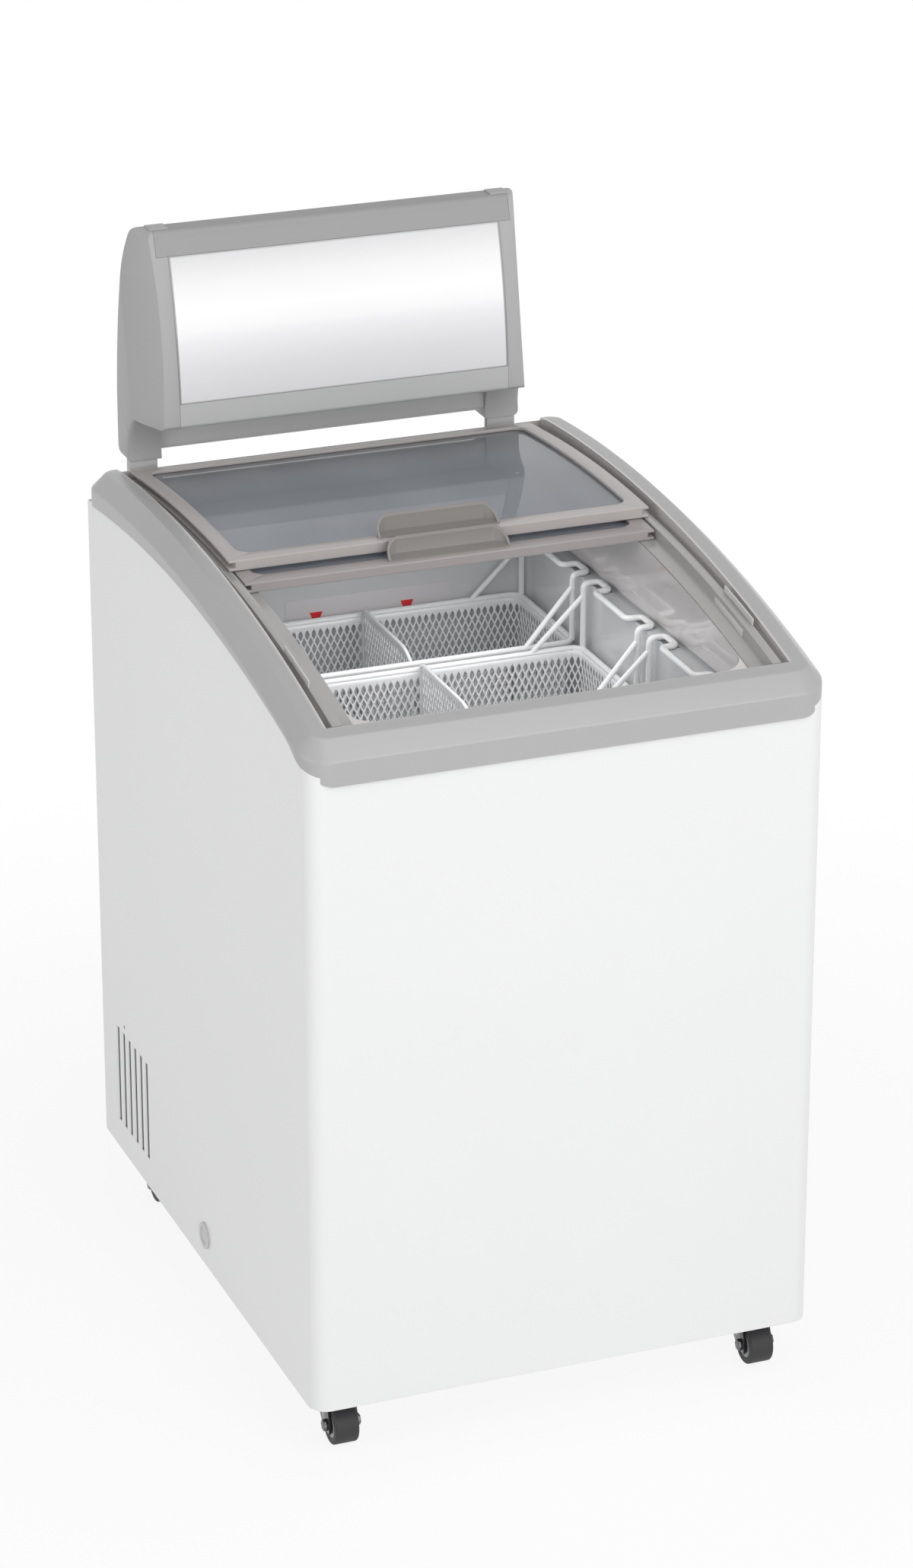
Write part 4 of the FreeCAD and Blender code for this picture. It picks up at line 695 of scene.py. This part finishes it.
def expanded(shape, at, size, cell, strand, hems, closed=False):
    """Diamond mesh over a sheet of the given size, with hems at the sides, below and above."""
    (wide, tall), (side, low, high) = size, hems
    columns = max(2, round((wide - 2 * side) / cell[0]))
    rows = max(2, round((tall - low - high) / cell[1]))
    w, h = (wide - 2 * side) / columns / 2, (tall - low - high) / rows / 2
    keep = 1 - strand * math.hypot(w, h) / (2 * w * h)
    last_i, last_j = 2 * columns, 2 * rows
    knots = {}

    def spot(i, j):
        return shape.verts.new(at(side + i * w, low + j * h))

    def knot(i, j):
        key = (i % last_i if closed else i, j)
        if key not in knots:
            knots[key] = spot(*key)
        return knots[key]

    for i in range(last_i if closed else last_i + 1):
        for j in range(i % 2, last_j + 1, 2):
            tips = [(i - 1, j), (i, j - 1), (i + 1, j), (i, j + 1)]
            real = [(a, b) for a, b in tips if 0 <= b <= last_j and (closed or 0 <= a <= last_i)]
            outer = [knot(a, b) for a, b in real]
            if len(real) < 4:
                shape.faces.new(outer if len(real) == 3 else [knot(i, j)] + outer)
                continue
            inner = [spot(i + (a - i) * keep, j + (b - j) * keep) for a, b in tips]
            for k in range(4):
                across = tips[k - 1][0] + tips[k][0] - 2 * i
                upward = tips[k - 1][1] + tips[k][1] - 2 * j
                bulge = keep * (TOP_BULGE if j == last_j - 1 and upward > 0 else BULGE)
                middle = spot(i + across * bulge, j + upward * bulge)
                shape.faces.new((outer[k - 1], outer[k], inner[k], middle, inner[k - 1]))

    def hem(loop):
        loop = [key for key in loop if key in knots]
        edge = []
        for i, j in loop:
            x = 0 if i == 0 and not closed else wide if i == last_i else side + i * w
            y = 0 if j == 0 else tall if j == last_j else low + j * h
            edge.append(shape.verts.new(at(x, y)))
        for k in range(len(loop)):
            shape.faces.new((knots[loop[k - 1]], knots[loop[k]], edge[k], edge[k - 1]))

    below, above = ([(i, j) for i in range(last_i + 1)] for j in (0, last_j))
    if closed:
        hem(below)
        hem(above)
    else:
        first, last = ([(i, j) for j in range(1, last_j)] for i in (0, last_i))
        hem(below + last + above[::-1] + first[::-1])


def thicken(made, thickness):
    sheet = made.modifiers.new("thickness", "SOLIDIFY")
    sheet.thickness, sheet.offset = thickness, 0.0


print("expanded mesh ready")

# %% [markdown]
# ## Basket walls
# Three baskets hang side by side in the tub. Each has one tapered mesh wall bent
# round four corners and a coarser floor. Four flat walls would leave seams at the
# corners, so the wall is one sheet: `round_trip` says where a distance along the
# way round the basket ends up. The middles and lengths are measured on the solids.

# %% Basket walls
BASKET_HALF, RIM_Z, FLOOR_Z, TAPER = 0.1903, 0.690, 0.500, 0.006
RIM_WIRE, RIM_BEND, WALL_BITE = 0.0036, 0.016, 0.001
WALL_CELL, WALL_HEMS = (0.0078, 0.0158), (0, 0.004, 0.006)
FLOOR_CELL, FLOOR_HEMS = (0.0135, 0.025), (0.005, 0.005, 0.005)
STRAND = 0.0020
BASKETS = {}
for name in ("rear", "middle", "front"):
    low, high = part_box("basket_" + name)
    BASKETS[name] = ((low.y + high.y) / 2, high.y - low.y)


def round_trip(half_x, half_y, bend, s):
    """Place and outward direction at a distance along a rectangle with round corners."""
    for turn in range(4):
        reach = (half_y, half_x)[turn % 2]
        straight = 2 * ((half_x, half_y)[turn % 2] - bend)
        angle = math.pi / 2 * (turn - 1)
        out = Vector((math.cos(angle), math.sin(angle)))
        ahead = Vector((-math.sin(angle), math.cos(angle)))
        if s <= straight:
            return out * reach + ahead * (s - straight / 2), out
        s -= straight
        if s <= math.pi / 2 * bend or turn == 3:
            lean = Vector((math.cos(angle + s / bend), math.sin(angle + s / bend)))
            return out * (reach - bend) + ahead * (straight / 2) + lean * bend, lean
        s -= math.pi / 2 * bend


def basket_walls(shape, middle, length):
    half_x = BASKET_HALF - 2 * RIM_WIRE + WALL_BITE
    half_y = length / 2 - 2 * RIM_WIRE + WALL_BITE
    bend, tall = RIM_BEND - RIM_WIRE, RIM_Z - FLOOR_Z
    around = 4 * (half_x + half_y) - (8 - 2 * math.pi) * bend

    def wall(s, height):
        spot, out = round_trip(half_x, half_y, bend, s % around)
        spot = spot - out * TAPER * (1 - height / tall)
        return (spot.x, middle + spot.y, FLOOR_Z + height)

    def floor(x, y):
        return (x - half_x + TAPER, middle + y - half_y + TAPER, FLOOR_Z)

    floor_size = (2 * (half_x - TAPER), 2 * (half_y - TAPER))
    expanded(shape, wall, (around, tall), WALL_CELL, STRAND, WALL_HEMS, closed=True)
    expanded(shape, floor, floor_size, FLOOR_CELL, STRAND, FLOOR_HEMS)


print("baskets", {name: [round(v, 3) for v in span] for name, span in BASKETS.items()})

# %% [markdown]
# ## Basket wires
# A round wire runs along each basket's rim. At both ends a hanger wire climbs to
# the ledge of the tub, loops over it twice and comes back, with two slanting braces
# down to the long sides. A plain hook would do the same work, but the long loops
# are what shows through the open lid. The routes follow the solids' own measures,
# so that each wire hangs on the ledge where the solid does.

# %% Basket wires
MESH_THICK, WIRE_SIDES, WIRE_SHARP = 0.0012, 10, 50.0
HANGER_WIRE, BRACE_WIRE, HOOK_BEND = 0.0035, 0.0032, 0.007
HOOK_REACH, HOOK_SPAN, HOOK_Z, BRACE_REACH = 0.018, 0.030, 0.7658, 0.058
white_coat = skin("white_coat", tone(0.93, 0.935, 0.94), 0.24, 1.2, 0.06, vary=0.02, coat=0.5)


def hanger(shape, middle, near, leg, hook):
    """One end's wire, up to the ledge and twice over it."""
    far = near - HOOK_SPAN
    route = [(leg, -near, RIM_Z)]
    for first, second in ((-near, -far), (far, near)):
        route += [(leg, first, HOOK_Z), (hook, first, HOOK_Z), (hook, second, HOOK_Z), (leg, second, HOOK_Z)]
    route.append((leg, near, RIM_Z))
    line = rounded([Vector((a, middle + b, c)) for a, b, c in route], HOOK_BEND)
    wire(shape, line, HANGER_WIRE, sides=WIRE_SIDES)


def basket_wires(shape, middle, length):
    x, y = BASKET_HALF - RIM_WIRE, length / 2 - RIM_WIRE
    ring = [Vector((sx * x, middle + sy * y, RIM_Z)) for sx, sy in ((-1, -1), (1, -1), (1, 1), (-1, 1))]
    wire(shape, rounded(ring, RIM_BEND, closed=True), RIM_WIRE, closed=True, sides=WIRE_SIDES)
    near = y - 2 * HANGER_WIRE
    for side in (-1, 1):
        leg = side * x
        hanger(shape, middle, near, leg, side * (x + HOOK_REACH))
        for end in (-1, 1):
            top = Vector((leg, middle + end * near, HOOK_Z - 2 * HOOK_BEND))
            foot = Vector((leg - side * BRACE_REACH, middle + end * y, RIM_Z))
            wire(shape, [top, foot], BRACE_WIRE)


for name, (middle, length) in BASKETS.items():
    basket = "basket_" + name
    shape = bmesh.new()
    basket_walls(shape, middle, length)
    made = piece(basket + "_mesh", shape, white_coat, "cabinet", [basket])
    thicken(made, MESH_THICK)
    shape = bmesh.new()
    basket_wires(shape, middle, length)
    piece(basket + "_wires", shape, white_coat, "cabinet", sharp=WIRE_SHARP)
    print("basket", name, len(made.data.polygons), "mesh faces")

# %% [markdown]
# ## Dividers
# Each basket is split in half by a loose sheet of the same mesh with a wire bound
# round its edge. It stands on the basket's floor and leans on nothing. Its top
# corner at the front is cut off so that hands don't catch on it: the whole mesh is
# made first and one plane trims it, as shears would.

# %% Dividers
DIVIDER_LOW, DIVIDER_HIGH, DIVIDER_PLAY = 0.5024, 0.6986, 0.0007
DIVIDER_HEMS, EDGE_WIRE, EDGE_BEND = (0.004, 0.004, 0.004), 0.0022, 0.010
TRIM_ALONG, TRIM_DOWN = 0.024, 0.012
tall = DIVIDER_HIGH - DIVIDER_LOW

for name, (middle, length) in BASKETS.items():
    divider = "divider_" + name
    head = length / 2 - 2 * RIM_WIRE - DIVIDER_PLAY
    foot = head - TAPER

    def sheet(x, y):
        return (0.0, middle + (x / head - 1) * (foot + TAPER * y / tall), DIVIDER_LOW + y)

    shape = bmesh.new()
    expanded(shape, sheet, (2 * head, tall), WALL_CELL, STRAND, DIVIDER_HEMS)
    trim_start = Vector((0.0, middle - head + TRIM_ALONG, DIVIDER_HIGH))
    everything = shape.verts[:] + shape.edges[:] + shape.faces[:]
    bmesh.ops.bisect_plane(shape, geom=everything, plane_co=trim_start,
                           plane_no=(0.0, -TRIM_DOWN, TRIM_ALONG), clear_outer=True)
    made = piece(divider + "_mesh", shape, white_coat, "cabinet", [divider])
    thicken(made, MESH_THICK)
    corners = [
        (-foot, DIVIDER_LOW),
        (foot, DIVIDER_LOW),
        (head, DIVIDER_HIGH),
        (TRIM_ALONG - head, DIVIDER_HIGH),
        (-head, DIVIDER_HIGH - TRIM_DOWN),
    ]
    route = rounded([Vector((0, middle + y, z)) for y, z in corners], EDGE_BEND, closed=True)
    shape = bmesh.new()
    wire(shape, route, EDGE_WIRE, closed=True)
    piece(divider + "_edge", shape, white_coat, "cabinet", sharp=WIRE_SHARP)
print("dividers", len(BASKETS))

# %% [markdown]
# ## Strip and load marks
# The rear wall of the tub carries a plain pale strip with two red load marks, which
# show how high the tub may be filled. A painted patch would have no edge of its own,
# so the strip is a thin box whose edges are bevelled in the mesh itself: a knife
# edge never catches light the way a real one does. A mark is a flat wedge in front
# of it. Both are stuck to the tub, so they ride on the cabinet.

# %% Strip and load marks
TUB_REAR_Y, STRIP_THICK, STRIP_EDGE = 0.2378, 0.0006, 0.0002
STRIP_LEFT, STRIP_RIGHT, STRIP_LOW, STRIP_HIGH = -0.086, 0.108, 0.680, 0.713
MARK_PLACES, MARK_TOP, MARK_TIP = (-0.0505, 0.0565), 0.6970, 0.6866
MARK_HALF_TOP, MARK_HALF_TIP, MARK_FRONT, MARK_REAR = 0.0075, 0.0033, 0.0010, 0.0005
strip_pink = skin("strip_pink", tone(0.70, 0.675, 0.685), 0.28, 5.0, 0.02, vary=0.012)
mark_red = skin("mark_red", tone(0.70, 0.03, 0.035), 0.4, 0.8, 0.02, vary=0.06)


def soft_box(shape, low, high, radius):
    low, high = Vector(low), Vector(high)
    size, middle = high - low, (low + high) / 2
    stretch = Matrix.Translation(middle) @ Matrix.Diagonal((*size, 1.0))
    made = bmesh.ops.create_cube(shape, size=1.0, matrix=stretch)
    edges = list(dict.fromkeys(edge for vert in made["verts"] for edge in vert.link_edges))
    offset = min(radius, min(size) / 3)
    bmesh.ops.bevel(shape, geom=edges, offset=offset, segments=2, profile=0.5, affect="EDGES")


shape = bmesh.new()
soft_box(shape, (STRIP_LEFT, TUB_REAR_Y - STRIP_THICK, STRIP_LOW),
         (STRIP_RIGHT, TUB_REAR_Y, STRIP_HIGH), STRIP_EDGE)
piece("rear_wall_strip", shape, strip_pink, "cabinet")
shape = bmesh.new()
for x in MARK_PLACES:
    outline = [
        (x - MARK_HALF_TOP, MARK_TOP),
        (x + MARK_HALF_TOP, MARK_TOP),
        (x + MARK_HALF_TIP, MARK_TIP),
        (x - MARK_HALF_TIP, MARK_TIP),
    ]
    front = [shape.verts.new((a, TUB_REAR_Y - MARK_FRONT, b)) for a, b in outline]
    rear = [shape.verts.new((a, TUB_REAR_Y - MARK_REAR, b)) for a, b in outline]
    shape.faces.new(front)
    shape.faces.new(rear)
    for k in range(4):
        shape.faces.new((front[k - 1], front[k], rear[k], rear[k - 1]))
piece("load_marks", shape, mark_red, "cabinet")
print("strip and", len(MARK_PLACES), "load marks")

# %% [markdown]
# ## Painted shade under the hooks
# Where the basket wires hang on the ledge, the ledge lies in shade inside each
# hook loop, and thin dark patches there are painted shade. They could be a dark
# patch in the liner's finish, but a patch with an edge casts a small shadow, so
# each is a soft box. All twelve are one piece.

# %% Painted shade under the hooks
LEDGE_Z, SHADE_PATCH_THICK, SHADE_PATCH_EDGE = 0.762, 0.00025, 0.0001
SHADE_PATCH_X, SHADE_PATCH_Y = 0.2035, BASKETS["rear"][1] / 2 - RIM_WIRE - 2 * HANGER_WIRE - HOOK_SPAN / 2
SHADE_PATCH_HALF_X, SHADE_PATCH_HALF_Y = 0.006, 0.013
seal_dark = skin("seal_dark", tone(0.20, 0.20, 0.205), 0.5, 0.6, 0.05, vary=0.2)

# Thin dark patches of painted shade where the ledge lies in shade inside each hook loop.
shape = bmesh.new()
for middle, _ in BASKETS.values():
    for side in (-1, 1):
        for end in (-1, 1):
            x, y = side * SHADE_PATCH_X, middle + end * SHADE_PATCH_Y
            soft_box(shape, (x - SHADE_PATCH_HALF_X, y - SHADE_PATCH_HALF_Y, LEDGE_Z),
                     (x + SHADE_PATCH_HALF_X, y + SHADE_PATCH_HALF_Y, LEDGE_Z + SHADE_PATCH_THICK), SHADE_PATCH_EDGE)
piece("hook_pads", shape, seal_dark, "cabinet")
print("hook pads", 4 * len(BASKETS))

# %% [markdown]
# ## Castor rings
# Each wheel has a recessed grey ring moulded round its hub on both faces. A ring
# could be painted on, but it lies a little below the tread's side and has to turn
# with the wheel. It is a flat band turned round the axle: two circles inside each
# other on two levels.

# %% Castor rings
RING_INNER, RING_OUTER, RING_SEGMENTS = 0.0102, 0.0148, 40
RING_FACE, RING_BACK = 0.0006, 0.0021
ring_grey = skin("ring_grey", tone(0.30, 0.31, 0.32), 0.4, 0.7, 0.05, vary=0.06)

for corner in CORNERS:
    low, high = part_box("castor_" + corner + "_wheel")
    centre = (low + high) / 2
    shape = bmesh.new()
    for x0, x1 in ((low.x + RING_FACE, low.x + RING_BACK), (high.x - RING_BACK, high.x - RING_FACE)):
        loops = []
        for x, radius in ((x0, RING_INNER), (x0, RING_OUTER), (x1, RING_OUTER), (x1, RING_INNER)):
            loop = []
            for k in range(RING_SEGMENTS):
                turn = 2 * math.pi * k / RING_SEGMENTS
                spot = (x, centre.y + radius * math.cos(turn), centre.z + radius * math.sin(turn))
                loop.append(shape.verts.new(spot))
            loops.append(loop)
        for first, second in zip(loops, loops[1:] + loops[:1]):
            for k in range(RING_SEGMENTS):
                shape.faces.new((first[k - 1], first[k], second[k], second[k - 1]))
    piece("castor_" + corner + "_rings", shape, ring_grey, "wheel_" + corner)
print("castor rings", len(CORNERS))

# %% [markdown]
# ## Floor
# In the photograph the freezer stands in plain white. More light would turn a
# floor white and bleach the freezer with it. This floor is white to the eye and to
# reflections only: its shader mixes a matt white, which carries the freezer's
# shadow, with a white glow that only camera, mirror and glass rays see. The glow
# takes over with distance.

# %% Floor
FLOOR_REACH, FLECK_MM, GLOW_NEAR = 20.0, 300.0, 0.88
GLOW_STARTS, GLOW_FULL = 0.4, 1.6
SQUARE = ((-1, -1), (1, -1), (1, 1), (-1, 1))


def seen_rays(tap):
    """One for the rays that show a surface to the eye, straight, mirrored or through glass."""
    rays = [tap.node("ShaderNodeLightPath", out=name)
            for name in ("Is Camera Ray", "Is Glossy Ray", "Is Transmission Ray")]
    return tap.maths("MAXIMUM", tap.maths("MAXIMUM", rays[0], rays[1]), rays[2])


floor_white, tap = empty_material("floor_white")
pale = blend(tap, grain(tap, FLECK_MM), tone(0.86, 0.86, 0.86), tone(0.88, 0.88, 0.88))
matt = tap.node("ShaderNodeBsdfPrincipled", {}, {
    "Base Color": pale,
    "Roughness": 1.0,
    "Specular IOR Level": 0.0,
})
glow = tap.node("ShaderNodeEmission", {}, {"Color": tone(1, 1, 1), "Strength": 1.0})
away = tap.node("ShaderNodeVectorMath", {"operation": "LENGTH"}, {0: place(tap)}, out="Value")
clean = GLOW_NEAR + step(tap, away, GLOW_STARTS, GLOW_FULL) * (1 - GLOW_NEAR)
mixed = tap.node("ShaderNodeMixShader", {}, {0: seen_rays(tap) * clean, 1: matt, 2: glow})
tap.node("ShaderNodeOutputMaterial", {}, {"Surface": mixed})

floor_mesh = bpy.data.meshes.new("floor")
floor_points = [(x * FLOOR_REACH, y * FLOOR_REACH, 0.0) for x, y in SQUARE]
floor_mesh.from_pydata(floor_points, [], [(0, 1, 2, 3)])
floor_mesh.materials.append(floor_white)
floor = bpy.data.objects.new("floor", floor_mesh)
scene.collection.objects.link(floor)
print("floor reaches", FLOOR_REACH, "m")

# %% [markdown]
# ## Surround
# The world stands in for the walls of a bright room. One even level would flatten
# the freezer, so its ceiling is darker than its walls, and upright faces come out
# brighter than level ones. The same rays that see the glow of the floor see plain
# white here.

# %% Surround
WALL_LEVEL, CEILING_DROP = 0.72, 0.32
CEILING_STARTS, CEILING_FULL = 0.05, 0.9

world = bpy.data.worlds.new("surround")
scene.world = world
world.use_nodes = True
world.node_tree.nodes.clear()
tap = Tap(world.node_tree)
heading = tap.node("ShaderNodeTexCoord", out="Generated")
height = tap.node("ShaderNodeSeparateXYZ", {}, {0: heading}, out="Z")
wall = WALL_LEVEL - step(tap, height, CEILING_STARTS, CEILING_FULL) * CEILING_DROP
seen = seen_rays(tap)
level = wall * (1 - seen) + seen
ground = tap.node("ShaderNodeBackground", {}, {"Color": tone(1, 1, 1), "Strength": level})
tap.node("ShaderNodeOutputWorld", {}, {"Surface": ground})
print("surround", WALL_LEVEL, "at the walls,", round(WALL_LEVEL - CEILING_DROP, 2), "above")

# %% [markdown]
# ## Light panels
# The light is soft: one large panel from the front right and weaker ones from the
# left, from low in front and from above. Small lamps would draw hard shadows that
# the real room doesn't have. A small panel low in the mouth of the tub stands in
# for the light that white walls throw at each other there. Each line gives a
# panel's place, what it points at, its size and its power.

# %% Light panels
PANELS = {
    "key_panel": ((1.4, -3.9, 2.4), (0.0, 0.0, 0.6), 2.6, 45.0),
    "left_panel": ((-3.6, -1.2, 1.5), (0.0, 0.0, 0.6), 2.4, 20.0),
    "low_panel": ((-0.9, -4.2, 1.0), (0.0, 0.3, 1.0), 2.0, 20.0),
    "top_panel": ((0.2, -1.8, 3.4), (0.0, 0.0, 0.6), 2.4, 20.0),
    "tub_panel": ((0.0, -0.02, 0.81), (0.0, -0.05, 0.30), 0.32, 0.36),
}
for name, (spot, target, size, power) in PANELS.items():
    lamp = bpy.data.lights.new(name, "AREA")
    lamp.size, lamp.energy = size, power
    holder = bpy.data.objects.new(name, lamp)
    aim = Vector(target) - Vector(spot)
    holder.matrix_world = Matrix.Translation(spot) @ aim.to_track_quat("-Z", "Y").to_matrix().to_4x4()
    scene.collection.objects.link(holder)
print("light panels", len(PANELS))
